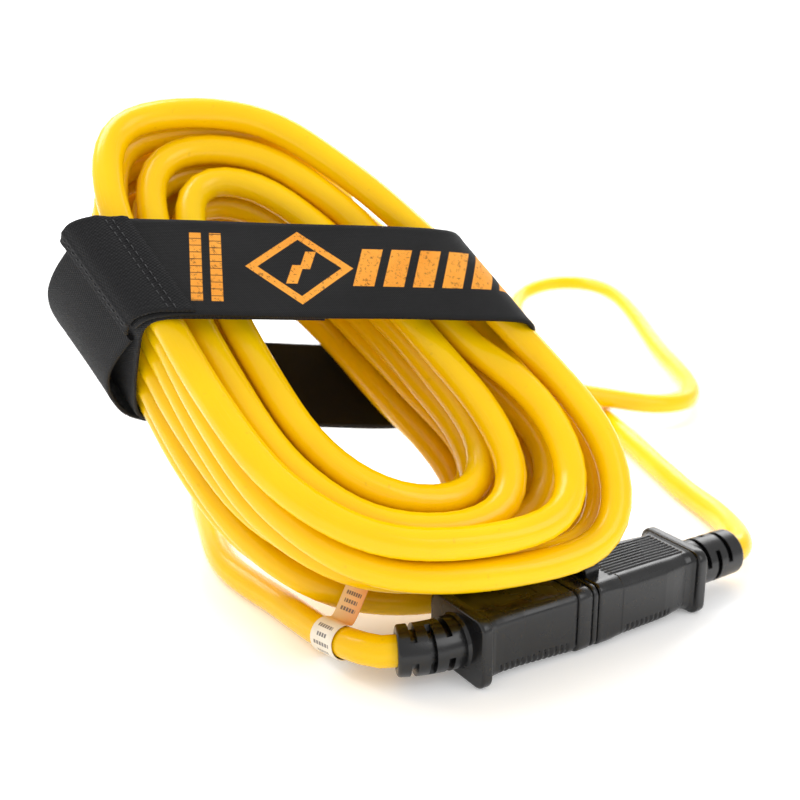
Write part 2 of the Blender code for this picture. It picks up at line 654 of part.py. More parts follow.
def contacts(coll, brass, parent):
    """Female contacts: two spring leaves round each blade, a sleeve round the pin."""
    x0, x1, half, back = 2.5 * MM, 22.5 * MM, CONTACT_HALF, 1.2 * MM
    for pole, y, z in poles():
        name = "connector_" + pole + "_contact"
        if pole == "ground":
            sleeve(name, CONTACT_SLEEVE_R, CONTACT_BORE_R, x0, x1 + 0.4 * MM, y, z, coll, brass,
                   parent, back_wall=back)
            continue
        curve = bpy.data.curves.new(name + "_outline", "CURVE")
        curve.dimensions = "2D"
        curve.fill_mode = "BOTH"
        curve.extrude = BLADE_W / 2
        spline = curve.splines.new("POLY")
        inner = half - CONTACT_LEAF
        outline = ((x0, half), (x1, half), (x1, -half), (x0, -half), (x0, -inner),
                   (x1 - back, -inner), (x1 - back, inner), (x0, inner))
        spline.points.add(len(outline) - 1)
        for slot, (px, py) in zip(spline.points, outline):
            slot.co = (px, py, 0, 1)
        spline.use_cyclic_u = True
        source = bpy.data.objects.new(name + "_outline", curve)
        coll.objects.link(source)
        bpy.context.view_layer.update()
        graph = bpy.context.evaluated_depsgraph_get()
        mesh = bpy.data.meshes.new_from_object(source.evaluated_get(graph))
        bpy.data.objects.remove(source, do_unlink=True)
        bpy.data.curves.remove(curve)
        bm = bmesh.new()
        bm.from_mesh(mesh)
        bpy.data.meshes.remove(mesh)
        bmesh.ops.remove_doubles(bm, verts=bm.verts, dist=1e-6)
        bmesh.ops.rotate(bm, verts=bm.verts, matrix=Matrix.Rotation(pi / 2, 3, "X"))
        obj = mesh_object(name, bm, coll, brass, parent)
        obj.location = (0, y, z)


# ---- conductors -------------------------------------------------------------------------
def core_points(path, pole_index):
    """One conductor inside the cable; a slight lay lines it up with both ends."""
    side, up = frames_along(path)
    count = len(path)
    start = CORE_ANGLES[pole_index]
    yaw_side = np.array([-sin(PAIR_YAW), cos(PAIR_YAW), 0.0])
    # angle of the connector's own left-hand side in the last frame
    turn_in = atan2(yaw_side @ up[0], yaw_side @ side[0])
    turn_out = atan2(yaw_side @ up[-1], yaw_side @ side[-1])
    handed = np.sign(np.cross(side[0], up[0]) @ (path[1] - path[0]))
    flip_in = np.sign((pair_point(1) - pair_point(0)) @ (path[1] - path[0]))
    flip_out = np.sign((pair_point(1) - pair_point(0)) @ (path[-1] - path[-2]))
    points = []
    for i in range(count):
        share = i / (count - 1)
        angle_in = turn_in + flip_in * handed * start
        angle_out = turn_out + flip_out * handed * start
        angle = angle_in + (angle_out - angle_in) * share
        points.append(path[i] + CORE_OFFSET * (cos(angle) * side[i] + sin(angle) * up[i]))
    return np.array(points)


def conductors(path, split, coll, mats, parent):
    """Plug leads on the plug's body and the long conductors of the cable."""
    for index, (pole, y, z) in enumerate(poles()):
        points = core_points(path, index)
        core_y = CORE_OFFSET * cos(CORE_ANGLES[index])
        core_z = CORE_OFFSET * sin(CORE_ANGLES[index])
        plug_end = [pair_point(-22.5 * MM, y, z), pair_point(-29 * MM, y, z),
                    pair_point(-39 * MM, core_y, core_z)]
        lead = plug_end + list(points[1:split]) + [points_at_split(points, split, -1)]
        wire("plug_" + pole + "_lead", lead, CORE_R, 0, coll, mats[pole], parent)
        connector_end = [pair_point(42 * MM, core_y, core_z), pair_point(34.5 * MM, y, z),
                         pair_point(29.5 * MM, y, z)]
        long_run = [points_at_split(points, split, 1)] + list(points[split + 1:-1]) + connector_end
        wire(pole + "_conductor", long_run, CORE_R, 0, coll, mats[pole], parent)


def points_at_split(points, split, side):
    """The point half a gap before or after the cut in the cable."""
    ahead = unit(points[split + 1] - points[split - 1])
    return points[split] + ahead * side * TAIL_SPLIT_GAP / 2


# ---- strap ------------------------------------------------------------------------------
def strap_frame(path):
    """The strap's matrix: X across the coil, Y along its width, Z out of the coil."""
    along, across, up = coil_axes()
    x = across * cos(STRAP_TURN) + along * sin(STRAP_TURN)
    y = np.cross(up, x)
    centre = COIL_NEAR + along * STRAP_ALONG
    matrix = Matrix.Identity(4)
    for column, vector in enumerate((x, y, up, centre)):
        for row in range(3):
            matrix[row][column] = vector[row]
    return matrix, x, y, up, centre


def bundle_outline(path, x, y, up, centre):
    """Convex outline, in the strap's XZ plane, of the strands inside the strap."""
    fine = []
    for a, b in zip(path, path[1:]):
        for t in np.linspace(0, 1, 8, endpoint=False):
            fine.append(a + (b - a) * t)
    local = np.array(fine) - centre
    inside = np.abs(local @ y - STRAP_SLANT * (local @ x)) < STRAP_W / 2 + 6 * MM
    level = np.abs(local @ up + 25 * MM) < 45 * MM
    spots = np.stack([local @ x, local @ up], 1)[inside & level]
    reach = CABLE_R + STRAP_CLEAR
    circle = [(reach * cos(2 * pi * k / 24), reach * sin(2 * pi * k / 24)) for k in range(24)]
    cloud = sorted({(round(px + cx, 6), round(pz + cz, 6)) for px, pz in spots for cx, cz in circle})
    return convex(cloud)


def convex(cloud):
    """Convex hull of sorted points, counter-clockwise."""
    def half(points):
        chain = []
        for p in points:
            while len(chain) > 1 and ((chain[-1][0] - chain[-2][0]) * (p[1] - chain[-2][1])
                                      - (chain[-1][1] - chain[-2][1]) * (p[0] - chain[-2][0])) <= 0:
                chain.pop()
            chain.append(p)
        return chain[:-1]
    return half(cloud) + half(cloud[::-1])


def around(outline, count=84):
    """The outline at even spacing, counter-clockwise, starting at its right side."""
    loop = np.array(outline + outline[:1])
    run = np.concatenate([[0], np.cumsum(np.linalg.norm(np.diff(loop, axis=0), axis=1))])
    start = run[int(np.argmax(loop[:-1, 0]))]
    marks = (start + np.linspace(0, run[-1], count, endpoint=False)) % run[-1]
    return np.array([[np.interp(m, run, loop[:, 0]), np.interp(m, run, loop[:, 1])] for m in marks])


def offset_outline(points, distance):
    """Moves each point of an anticlockwise outline outwards."""
    ahead = np.roll(points, -1, axis=0) - np.roll(points, 1, axis=0)
    normal = np.stack([ahead[:, 1], -ahead[:, 0]], 1)
    return points + distance * normal / np.linalg.norm(normal, axis=1)[:, None]


def strap(path, coll, mats, parent):
    matrix, x, y, up, centre = strap_frame(path)
    outline = around(bundle_outline(path, x, y, up, centre))
    seat = empty("strap_seat", matrix, coll, parent)
    angle = np.array([atan2(n[1], n[0]) for n in outline_normals(outline)])
    shoulder_right = int(np.argmin(np.abs(angle - radians(52))))
    shoulder_left = int(np.argmin(np.abs(angle - radians(140))))
    left_low = int(np.argmin(np.abs(angle - radians(178)))) + 3
    count = len(outline)
    # base band: from under the printed flap, over the left shoulder, round to the right one
    inner_start = shoulder_right + int(0.42 * (shoulder_left - shoulder_right))
    base_index = [i % count for i in range(inner_start, count + shoulder_right - 1)]
    ribbon("strap_base_band", outline[base_index], STRAP_W, STRAP_T, coll, mats["webbing"], seat,
           slant=STRAP_SLANT)
    # flap: lies on the base band's end, its root on the right shoulder
    lift = STRAP_T + 0.35 * MM
    over = offset_outline(outline, lift)
    hinge_spot = outline[shoulder_right] * 0.5 + over[shoulder_right] * 0.5
    hinge_place = (hinge_spot[0], STRAP_SLANT * hinge_spot[0], hinge_spot[1])
    hinge = empty("strap_hinge", Matrix.Translation(hinge_place), coll, seat)
    flap = over[shoulder_right + 1:shoulder_left + 2] - hinge_spot
    ribbon("strap_printed_flap", flap, STRAP_W, STRAP_T, coll, mats["printed"], hinge,
           slant=STRAP_SLANT)
    # hem: the folded, sewn end of the flap, down over the left shoulder
    hem = offset_outline(outline, lift + STRAP_T + 0.3 * MM)
    hem_path = hem[shoulder_left - 3:shoulder_left + 3] - hinge_spot
    ribbon("strap_pull_hem", hem_path, STRAP_W - 1 * MM, STRAP_T, coll, mats["webbing"], hinge,
           slant=STRAP_SLANT)
    # hook patch on the flap's underside, loop patch on the band's top; they face each other
    mid = (shoulder_left + inner_start) // 2
    hooks = offset_outline(outline, lift - 0.15 * MM)[mid:shoulder_left] - hinge_spot
    ribbon("strap_hook_patch", hooks, STRAP_W - 4 * MM, 0.1 * MM, coll, mats["hook"], hinge,
           offset=0.0, slant=STRAP_SLANT)
    # hanging loop: a second layer that stands off the left side
    side = offset_outline(outline, STRAP_T + 0.4 * MM)[shoulder_left + 3:left_low + 6]
    steps = np.linspace(0, pi, len(side))
    bulge = np.array([[-HANG_LOOP_BULGE * sin(s), 0.0] for s in steps])
    ribbon("strap_hanging_loop", side + bulge, STRAP_W - 2 * MM, STRAP_T, coll, mats["webbing"],
           seat, slant=STRAP_SLANT)
    return hinge


def outline_normals(points):
    ahead = np.roll(points, -1, axis=0) - np.roll(points, 1, axis=0)
    return np.stack([ahead[:, 1], -ahead[:, 0]], 1)


# ---- label ------------------------------------------------------------------------------
def flag_label(path, split, coll, mat, parent):
    """A paper tag wrapped once round the plug's tail, its ends stuck into a flag."""
    spot = (path[split - 3] + path[split - 2]) / 2
    ahead = unit(path[split - 2] - path[split - 3])
    reach = CABLE_R + 0.5 * MM
    turn = [(reach * cos(a), reach * sin(a)) for a in np.radians(np.linspace(60, 385, 22))]
    flag_way = unit(np.array([0.62, 0.78]))
    tip = [tuple(np.array(turn[0]) + flag_way * step) for step in (FLAG_LENGTH, FLAG_LENGTH / 2, 1.5 * MM)]
    outline = np.array(tip + turn)
    side = unit(np.cross([0, 0, 1.0], -ahead))
    up = np.cross(side, ahead)
    up = up if up[2] > 0 else -up
    matrix = Matrix.Identity(4)
    for column, vector in enumerate((side, np.cross(up, side), up, spot)):
        for row in range(3):
            matrix[row][column] = vector[row]
    obj = ribbon("flag_label", outline, LABEL_W, LABEL_T, coll, mat, parent, offset=0.0)
    obj.matrix_local = matrix
    return obj


# ---- assembly -----------------------------------------------------------------------------
def main():
    clear_scene()
    coll = new_collection(COLLECTION)
    cutters = new_collection("cutters")
    yellow = material("yellow_jacket", (0.95, 0.60, 0.02), 0.32)
    black = material("black_overmold", (0.02, 0.02, 0.022), 0.42)
    insert = material("insert_plastic", (0.05, 0.05, 0.055), 0.5)
    brass = material("plated_brass", (0.78, 0.66, 0.42), 0.3, 1.0)
    webbing = material("black_webbing", (0.015, 0.015, 0.017), 0.85)
    printed = material("black_satin_panel", (0.022, 0.022, 0.025), 0.7)
    hook = material("hook_tape", (0.012, 0.012, 0.012), 0.9)
    paper = material("label_paper", (0.86, 0.78, 0.66), 0.55)
    cores = {"line": material("black_insulation", (0.02, 0.02, 0.02), 0.5),
             "neutral": material("white_insulation", (0.85, 0.85, 0.83), 0.5),
             "ground": material("green_insulation", (0.03, 0.35, 0.08), 0.5)}

    rest_point = pair_point(CONNECTOR_LENGTH - CONNECTOR_BOOT - 3 * MM, 0, -FLANGE_H / 2)
    base = empty("layout_origin", Matrix.Translation(-Vector(rest_point)), coll)
    path, split = cable_path()
    after, before = (points_at_split(path, split, s) for s in (1, -1))
    jacket("plug_tail_jacket", list(path[1:split]) + [before], coll, yellow, base)
    jacket("cable_jacket", [after] + list(path[split + 1:-1]), coll, yellow, base)
    conductors(path, split, coll, cores, base)

    pair_matrix = Matrix.Translation(Vector(SEAM)) @ Matrix.Rotation(PAIR_YAW, 4, "Z")
    pair = empty("pair_axis", pair_matrix, coll, base)
    slider = empty("plug_slide_axis", Matrix.Identity(4), coll, pair)
    plug_overmold(coll, black, slider)
    plug_insert(coll, cutters, insert, slider)
    plug_blades(coll, brass, slider)
    crimps("plug", -BLADE_BACK - 4 * MM, -1, coll, brass, slider)
    connector_overmold(coll, cutters, black, pair)
    contact_block(coll, cutters, insert, pair)
    contacts(coll, brass, pair)
    crimps("connector", 27 * MM, 1, coll, brass, pair)

    strap(path, coll, {"webbing": webbing, "printed": printed, "hook": hook}, base)
    flag_label(path, split, coll, paper, base)


main()
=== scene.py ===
"""Looks of the shore power cord: a yellow three-wire cable wound into an oblong coil,
its plug mated into its own connector, a black hook-and-loop strap with a generic
orange print, and a wrap-round flag label.

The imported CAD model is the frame.  The cable, its cores, the two overmoulds, the
strap and the label are rebuilt as fine meshes along the CAD solids' own centre lines;
the metal and the insert keep their CAD meshes.  Metres, +Z up, floor at z = 0.
"""
import json
from math import atan2, cos, pi, radians, sin

import bmesh
import bpy
import numpy as np
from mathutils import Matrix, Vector


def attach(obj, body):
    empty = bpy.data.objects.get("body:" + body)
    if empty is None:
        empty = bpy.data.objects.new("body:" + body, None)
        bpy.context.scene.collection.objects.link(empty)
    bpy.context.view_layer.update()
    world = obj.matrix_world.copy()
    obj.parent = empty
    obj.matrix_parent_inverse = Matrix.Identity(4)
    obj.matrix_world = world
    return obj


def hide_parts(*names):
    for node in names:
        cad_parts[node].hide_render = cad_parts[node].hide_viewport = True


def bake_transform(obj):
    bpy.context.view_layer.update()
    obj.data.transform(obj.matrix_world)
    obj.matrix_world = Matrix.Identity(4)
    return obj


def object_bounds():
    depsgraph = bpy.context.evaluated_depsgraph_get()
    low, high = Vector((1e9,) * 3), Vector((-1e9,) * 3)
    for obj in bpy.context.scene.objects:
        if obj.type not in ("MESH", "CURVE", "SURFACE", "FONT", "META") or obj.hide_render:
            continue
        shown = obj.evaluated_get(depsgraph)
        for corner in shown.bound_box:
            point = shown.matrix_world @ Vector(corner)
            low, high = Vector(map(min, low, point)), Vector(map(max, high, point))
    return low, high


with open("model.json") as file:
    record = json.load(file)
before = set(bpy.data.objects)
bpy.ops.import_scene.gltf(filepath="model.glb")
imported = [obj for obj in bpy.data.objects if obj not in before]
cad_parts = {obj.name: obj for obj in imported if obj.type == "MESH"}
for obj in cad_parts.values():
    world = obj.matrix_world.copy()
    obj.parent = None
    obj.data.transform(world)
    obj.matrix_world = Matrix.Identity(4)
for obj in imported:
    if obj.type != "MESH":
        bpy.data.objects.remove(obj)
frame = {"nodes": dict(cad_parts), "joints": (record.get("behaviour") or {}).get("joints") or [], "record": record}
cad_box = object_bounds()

MM = 0.001

# ---- cable ---------------------------------------------------------------------------
CABLE_R = 4.6 * MM
SHEATH_WALL = 1.0 * MM
SHEATH_SIDES = 22
CABLE_STEP = 5.0 * MM          # between rings along the cable
STRAND_GAP = 9.25 * MM         # least distance between two strands' centres
SETTLE_ROUNDS = 70
LAY_LENGTH = 95 * MM           # one turn of the three twisted cores
LAY_SWELL = 0.055 * MM         # how far the cores show through the sheath
CORE_R = 1.55 * MM
CORE_OFFSET = 1.85 * MM
CORE_SIDES = 8
COIL_START = 6 * MM            # strands may be evened from here past the tail's CAD end
COIL_END = 34 * MM             # and up to this far from the cable's end in the connector
RING_POINTS = 16               # corners in one cross-section of the CAD jackets
TAIL_RIGID = 12 * MM           # the tail piece runs on this far past its CAD end
TAIL_BEND = 95 * MM            # and then this much further, where the coil piece begins

# ---- overmoulds, in the pair's frame: x from the seam towards the connector ----------
BORE_R = 4.72 * MM
BORE_RIM = 0.3 * MM            # the bore opens this much at a boot's end
BOOT_R = 7.6 * MM
BOOT_LIP = 0.9 * MM
BOOT_STEP = 0.5 * MM           # where a boot meets its flange
BOOT_CORNER = 9 * MM           # larger than any boot's radius, so its section is round
SLOT_DEPTH = 1.9 * MM
PLUG_ROOT = -42 * MM           # where the plug's boot begins
PLUG_BOOT = 18 * MM
PLUG_BOOT_TURN = radians(26)   # the boot gives way towards the coil
CONNECTOR_BOOT = 23 * MM
FLANGE_T = 3.6 * MM
FACE_W, FACE_H = 12 * MM, 9.9 * MM           # half sizes of the two faces
CAVITY = (10.8 * MM, 8.9 * MM, 2.1 * MM)     # half sizes and corner of the cavities
LEAD_ROOM = (9.4 * MM, 8.45 * MM, 2.1 * MM)
COMB_DEPTH = 0.6 * MM
COMB_PITCH = 1.9 * MM
COMB_TOP = -5.5 * MM           # the cross ribs reach this high up the sides
PLUG_HALF = 13 * MM
PLUG_INSET = (-30 * MM, -17 * MM)            # faint panel on the plug's top
COLLAR = 7 * MM
FILLET = 0.8 * MM
FILLET_STEPS = 5
GRIP_HALF = 7.6 * MM           # fine ribs on the connector's top
GRIP_PITCH = 1.52 * MM
GRIP_DEPTH = 0.5 * MM
TAB_RIM = 0.7 * MM
SMOOTH_BELOW = 32              # degrees; a mould's edges sharper than this stay crisp

# ---- strap ---------------------------------------------------------------------------
STRAP_HALF = 16 * MM
STRAP_T = 1.2 * MM
STRAP_STEP = 1.4 * MM          # between cross-sections along the strap
EDGE_R = 0.3 * MM              # of a woven edge
PANEL_LIFT = 1.55 * MM         # of the printed panel above the band
PANEL_PAST_HINGE = 15          # CAD sections of the band that it still covers past the hinge
HINGE_BEND = (-7 * MM, 9 * MM)               # stretch of the panel on both sides of the hinge
HEM_STEP = 0.35 * MM
HEM_RIDGES = (0.05, 0.30, 0.78, 0.95)        # shares of the hem's length
HEM_SEAMS = (0.17, 0.24, 0.86)
STITCH = 1.6 * MM
STITCH_PITCH = 2.1 * MM
THREAD_R = 0.17 * MM

# ---- label -----------------------------------------------------------------------------
LABEL_HALF = 5.5 * MM
LABEL_T = 0.22 * MM

# ---- view ----------------------------------------------------------------------------
CAMERA_SPOT = (-84.7 * MM, -342.55 * MM, 178.0 * MM)
CAMERA_TILT = radians(72)
LENS_MM = 54.0
F_STOP = 14.0
FLOOR_GLOW = 0.22              # the sweep is lit through from below
WORLD_LIGHT = 0.85


# ---- small vector helpers ------------------------------------------------------------
def unit(v):
    return v / np.linalg.norm(v)


def ease(t):
    t = np.clip(t, 0.0, 1.0)
    return t * t * (3 - 2 * t)


def lerp(a, b, t):
    return a + (b - a) * t


def run_length(points):
    """Distance along a polyline at each of its points."""
    return np.concatenate([[0.0], np.cumsum(np.linalg.norm(np.diff(points, axis=0), axis=1))])


def resample(points, step):
    """The polyline at even spacing, close to step."""
    run = run_length(points)
    marks = np.linspace(0, run[-1], max(2, round(run[-1] / step) + 1))
    return np.stack([np.interp(marks, run, points[:, a]) for a in range(points.shape[1])], 1)


def spline(points, step):
    """Centripetal Catmull-Rom curve through points, sampled about every step."""
    ends = np.vstack([2 * points[0] - points[1], points, 2 * points[-1] - points[-2]])
    fine = []
    for p0, p1, p2, p3 in zip(ends, ends[1:], ends[2:], ends[3:]):
        t1 = np.linalg.norm(p1 - p0) ** 0.5
        t2 = t1 + np.linalg.norm(p2 - p1) ** 0.5
        t3 = t2 + np.linalg.norm(p3 - p2) ** 0.5
        count = max(1, round(np.linalg.norm(p2 - p1) / step))
        t = np.linspace(t1, t2, count, endpoint=False)[:, None]
        a1 = lerp(p0, p1, t / t1)
        a2 = lerp(p1, p2, (t - t1) / (t2 - t1))
        a3 = lerp(p2, p3, (t - t2) / (t3 - t2))
        b1 = lerp(a1, a2, t / t2)
        b2 = lerp(a2, a3, (t - t1) / (t3 - t1))
        fine.append(lerp(b1, b2, (t - t1) / (t2 - t1)))
    return np.vstack(fine + [points[-1:]])


def smoothed(points, rounds, share=0.5):
    """Evens out a polyline, ends fixed."""
    points = points.copy()
    for _ in range(rounds):
        points[1:-1] += share * ((points[:-2] + points[2:]) / 2 - points[1:-1])
    return points


# ---- reading the CAD solids ----------------------------------------------------------
def corners(node):
    """A CAD node's corner points, each once, and each point's neighbours."""
    bm = bmesh.new()
    bm.from_mesh(frame["nodes"][node].data)
    bmesh.ops.remove_doubles(bm, verts=bm.verts, dist=0.02 * MM)
    bm.verts.index_update()
    points = np.array([v.co[:] for v in bm.verts])
    linked = [[e.other_vert(v).index for e in v.link_edges] for v in bm.verts]
    bm.free()
    return points, linked


def cross_sections(node, rank, size):
    """A swept solid's cross-sections, in order, from the end where rank is least."""
    points, linked = corners(node)
    ring = [int(i) for i in np.argsort(rank(points), kind="stable")[:size]]
    seen = set(ring)
    found = []
    while ring:
        found.append(points[ring])
        ring = sorted({n for v in ring for n in linked[v]} - seen)
        seen.update(ring)
    return found


def centres(sections):
    return np.array([s.mean(0) for s in sections])


def joint(name):
    return next(j for j in frame["joints"] if j["name"] == name)


class Frame:
    """An origin and three unit axes; turns local coordinates into the world and back.

    slant and stretch belong to the strap, whose strip runs askew to its hinge."""

    slant = 0.0
    stretch = 1.0

    def __init__(self, origin, x, y, z):
        self.origin = np.array(origin)
        self.axes = np.array([x, y, z])

    def world(self, local):
        return self.origin + np.asarray(local) @ self.axes

    def local(self, world):
        return (np.asarray(world) - self.origin) @ self.axes.T


def pair_frame():
    """X along the plug and connector, from plug to connector, origin at the seam."""
    x = -unit(np.array(joint("plug_slide")["axis"], float))
    z = np.array([0.0, 0.0, 1.0])
    y = np.cross(z, x)
    rough = Frame((0, 0, 0), x, y, z)
    plug = rough.local(corners("plug_overmold")[0])
    body = rough.local(corners("connector_overmold")[0])
    lip = body[body[:, 0] > body[:, 0].max() - 0.1 * MM]
    origin = rough.world((plug[:, 0].max(), lip[:, 1].mean(), lip[:, 2].mean()))
    return Frame(origin, x, y, z)


def strap_frame():
    """Origin on the flap's hinge, X to the right, Y along the hinge; the strap runs slanted."""
    hinge = joint("strap_open")
    origin = np.array(hinge["pos_m"], float)
    y = unit(np.array(hinge["axis"], float))
    flap = centres(cross_sections("strap_printed_flap", line_distance(origin, y), 4))
    x = flap[0] - flap[-1]
    x = unit(x - y * (x @ y))
    found = Frame(origin, x, y, np.cross(x, y))
    middle = found.local(flap)
    found.slant = (middle[:, 0] @ middle[:, 1]) / (middle[:, 0] @ middle[:, 0])
    found.stretch = (1 + found.slant ** 2) ** 0.5      # its width, measured along the hinge
    return found


def strap_sections(strap, node):
    """A strap solid's cross-sections, from its end at the hinge."""
    return cross_sections(node, line_distance(strap.origin, strap.axes[1]), 4)


def line_distance(origin, way):
    """Distance of points from a line, as a function."""
    return lambda points: np.linalg.norm(np.cross(points - origin, way), axis=1)


# ---- mesh makers ---------------------------------------------------------------------
def new_object(name, verts, faces, uvs=None, sharp=None):
    """A mesh object from arrays; uvs holds one pair for each corner of each vertex."""
    mesh = bpy.data.meshes.new(name)
    mesh.from_pydata([tuple(v) for v in verts], [], faces)
    if uvs is not None:
        layer = mesh.uv_layers.new(name="UVMap")
        index = np.zeros(len(mesh.loops), np.int32)
        mesh.loops.foreach_get("vertex_index", index)
        layer.data.foreach_set("uv", np.asarray(uvs, np.float32)[index].ravel())
    mesh.shade_smooth()
    if sharp is not None:
        mesh.set_sharp_from_angle(angle=radians(sharp))
    obj = bpy.data.objects.new(name, mesh)
    bpy.context.scene.collection.objects.link(obj)
    return obj


def finish(obj, node, body=None):
    """Hides the CAD node a piece stands for and attaches the piece to its body."""
    if node:
        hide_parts(node)
    if body:
        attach(obj, body)
    return obj


def grid_faces(rows, count, first=0, closed=True):
    """Quads joining rings of count points, row by row."""
    k = np.arange(count if closed else count - 1)
    n = (k + 1) % count
    faces = []
    for row in range(rows - 1):
        a, b = first + row * count, first + (row + 1) * count
        faces += np.stack([a + k, a + n, b + n, b + k], 1).tolist()
    return faces


def cap_faces(rows, count):
    """The two end faces of a stack of rings."""
    return [list(range(count))[::-1], [(rows - 1) * count + k for k in range(count)]]


def carried_axes(path):
    """Two unit vectors square to the path at each point, carried along without twist."""
    ahead = np.gradient(path, axis=0)
    ahead /= np.linalg.norm(ahead, axis=1)[:, None]
    side = unit(np.cross((0, 0, 1.0), ahead[0]))
    sides = []
    for way in ahead:
        side = unit(side - way * (side @ way))
        sides.append(side)
    sides = np.array(sides)
    return ahead, sides, np.cross(ahead, sides)


def tube(name, path, side, up, radius, sides, wall=0.0, run=None):
    """A round tube on a path; radius is a number or a function of run and angle."""
    count = len(path)
    angle = 2 * pi * np.arange(sides) / sides
    run = run_length(path) if run is None else run
    reach = radius(run[:, None], angle[None, :]) if callable(radius) else radius
    reach = np.broadcast_to(reach, (count, sides))
    around = (np.cos(angle)[None, :, None] * side[:, None, :]
              + np.sin(angle)[None, :, None] * up[:, None, :])
    skins = [path[:, None, :] + reach[:, :, None] * around]
    if wall > 0:
        skins.append(path[:, None, :] + (reach - wall)[:, :, None] * around)
    verts = np.vstack([s.reshape(-1, 3) for s in skins])
    faces = grid_faces(count, sides)
    uvs = [np.stack(np.broadcast_arrays(run[:, None], angle[None, :] / (2 * pi)), 2).reshape(-1, 2)]
    if wall > 0:
        inner = count * sides
        faces += [f[::-1] for f in grid_faces(count, sides, inner)]
        for row, turned in ((0, False), (count - 1, True)):
            for k in range(sides):
                n = (k + 1) % sides
                rim = (row * sides + k, inner + row * sides + k, inner + row * sides + n,
                       row * sides + n)
                faces.append(rim[::-1] if turned else rim)
        uvs.append(uvs[0])
    else:
        faces += cap_faces(count, sides)
    return new_object(name, verts, faces, np.vstack(uvs))


# ---- cable ---------------------------------------------------------------------------
def nearest_on_segments(a0, a1, b0, b1):
    """Shares s, t along two sets of segments where they come closest."""
    da, db, r = a1 - a0, b1 - b0, a0 - b0
    aa, bb, ab = (da * da).sum(1), (db * db).sum(1), (da * db).sum(1)
    ar, br = (da * r).sum(1), (db * r).sum(1)
    spread = aa * bb - ab * ab
    s = np.where(spread > 1e-16, (ab * br - ar * bb) / np.maximum(spread, 1e-16), 0.5)
    s = np.clip(s, 0, 1)
    t = np.clip((ab * s + br) / bb, 0, 1)
    s = np.clip((ab * t - ar) / aa, 0, 1)
    return s, t


def near_pairs(path, reach, skip):
    """Pairs of segments whose middles lie within reach, leaving out neighbours."""
    middle = (path[1:] + path[:-1]) / 2
    first, second = [], []
    for i in range(len(middle) - skip):
        rest = middle[i + skip:]
        hit = np.nonzero(((rest - middle[i]) ** 2).sum(1) < reach * reach)[0]
        first.append(np.full(len(hit), i))
        second.append(hit + i + skip)
    return np.concatenate(first), np.concatenate(second)


def strap_planes(strap, band):
    """The strap's inner outline as lines: outward normals and distances, in its XZ plane."""
    outline = strap.local(centres(band))[:, [0, 2]]
    ahead = np.roll(outline, -1, axis=0) - outline
    normal = np.stack([ahead[:, 1], -ahead[:, 0]], 1)
    normal /= np.linalg.norm(normal, axis=1)[:, None]
    return normal, (normal * outline).sum(1) - STRAP_T / 2


def settle(path, free, strap, planes):
    """Evens the strands' bends and moves them apart where the smooth curve touches."""
    path = path.copy()
    for step in range(SETTLE_ROUNDS):
        if step % 12 == 0:
            first, second = near_pairs(path, STRAND_GAP + 3 * CABLE_STEP, 4)
        for share in (0.45, -0.46):
            even = (path[:-2] + path[2:]) / 2 - path[1:-1]
            path[1:-1] += share * even * free[1:-1, None]
        s, t = nearest_on_segments(path[first], path[first + 1], path[second], path[second + 1])
        pa = path[first] + s[:, None] * (path[first + 1] - path[first])
        pb = path[second] + t[:, None] * (path[second + 1] - path[second])
        apart = pb - pa
        dist = np.linalg.norm(apart, axis=1)
        near = dist < STRAND_GAP
        move = apart[near] * ((STRAND_GAP - dist[near]) * 0.5 / np.maximum(dist[near], 1e-7))[:, None]
        push, weight = np.zeros_like(path), np.zeros(len(path))
        for index, part, sign in ((first[near], 1 - s[near], -1), (first[near] + 1, s[near], -1),
                                  (second[near], 1 - t[near], 1), (second[near] + 1, t[near], 1)):
            np.add.at(push, index, sign * move * part[:, None])
            np.add.at(weight, index, part)
        path[free] += (push / np.maximum(weight, 1)[:, None])[free]
        tuck_in(path, free, strap, planes)
        path[free, 2] = np.maximum(path[free, 2], CABLE_R)
    return path


def tuck_in(path, free, strap, planes):
    """Moves the strands that pass under the strap back inside it, in place."""
    normal, limit = planes
    local = strap.local(path)
    beside = np.abs(local[:, 1] - strap.slant * local[:, 0]) / strap.stretch
    below = (local[:, 2] < 5 * MM) & (local[:, 2] > -80 * MM)
    in_strap = free & (beside < STRAP_HALF + 4 * MM) & below
    if not in_strap.any():
        return
    flat = local[in_strap][:, [0, 2]]
    over = flat @ normal.T - (limit - CABLE_R - 0.15 * MM)[None, :]
    worst = over.argmax(1)
    depth = over.max(1)
    depth = np.where((depth > 0) & (depth < 6 * MM), depth, 0.0)
    flat = flat - normal[worst] * depth[:, None]
    local[in_strap, 0], local[in_strap, 2] = flat[:, 0], flat[:, 1]
    path[in_strap] = strap.world(local[in_strap])


def cable_centreline(pair, strap, band):
    """Fine centreline from inside the plug to inside the connector, and the tail's end."""
    def beside(points):
        local = pair.local(points)
        return np.where(np.hypot(local[:, 1], local[:, 2]) < 7 * MM, 0.0, 1.0), local[:, 0]

    def from_plug(points):
        off, along = beside(points)
        return off + np.where(along < 0, -along, 1.0)

    def from_connector(points):
        off, along = beside(points)
        return off + np.where(along > 0, along, 1.0)

    tail = centres(cross_sections("plug_tail_jacket", from_plug, RING_POINTS))
    coil = centres(cross_sections("cable_jacket", from_connector, RING_POINTS))[::-1]
    meet = (tail[-1] + coil[0]) / 2
    path = spline(np.vstack([tail[:-1], [meet], coil[1:]]), CABLE_STEP)
    run = run_length(path)
    near_meet = int(np.argmin(np.linalg.norm(path[:60] - meet, axis=1)))
    free = (run > run[near_meet] + COIL_START) & (run < run[-1] - COIL_END)
    path = settle(path, free, strap, strap_planes(strap, band))
    return path, near_meet


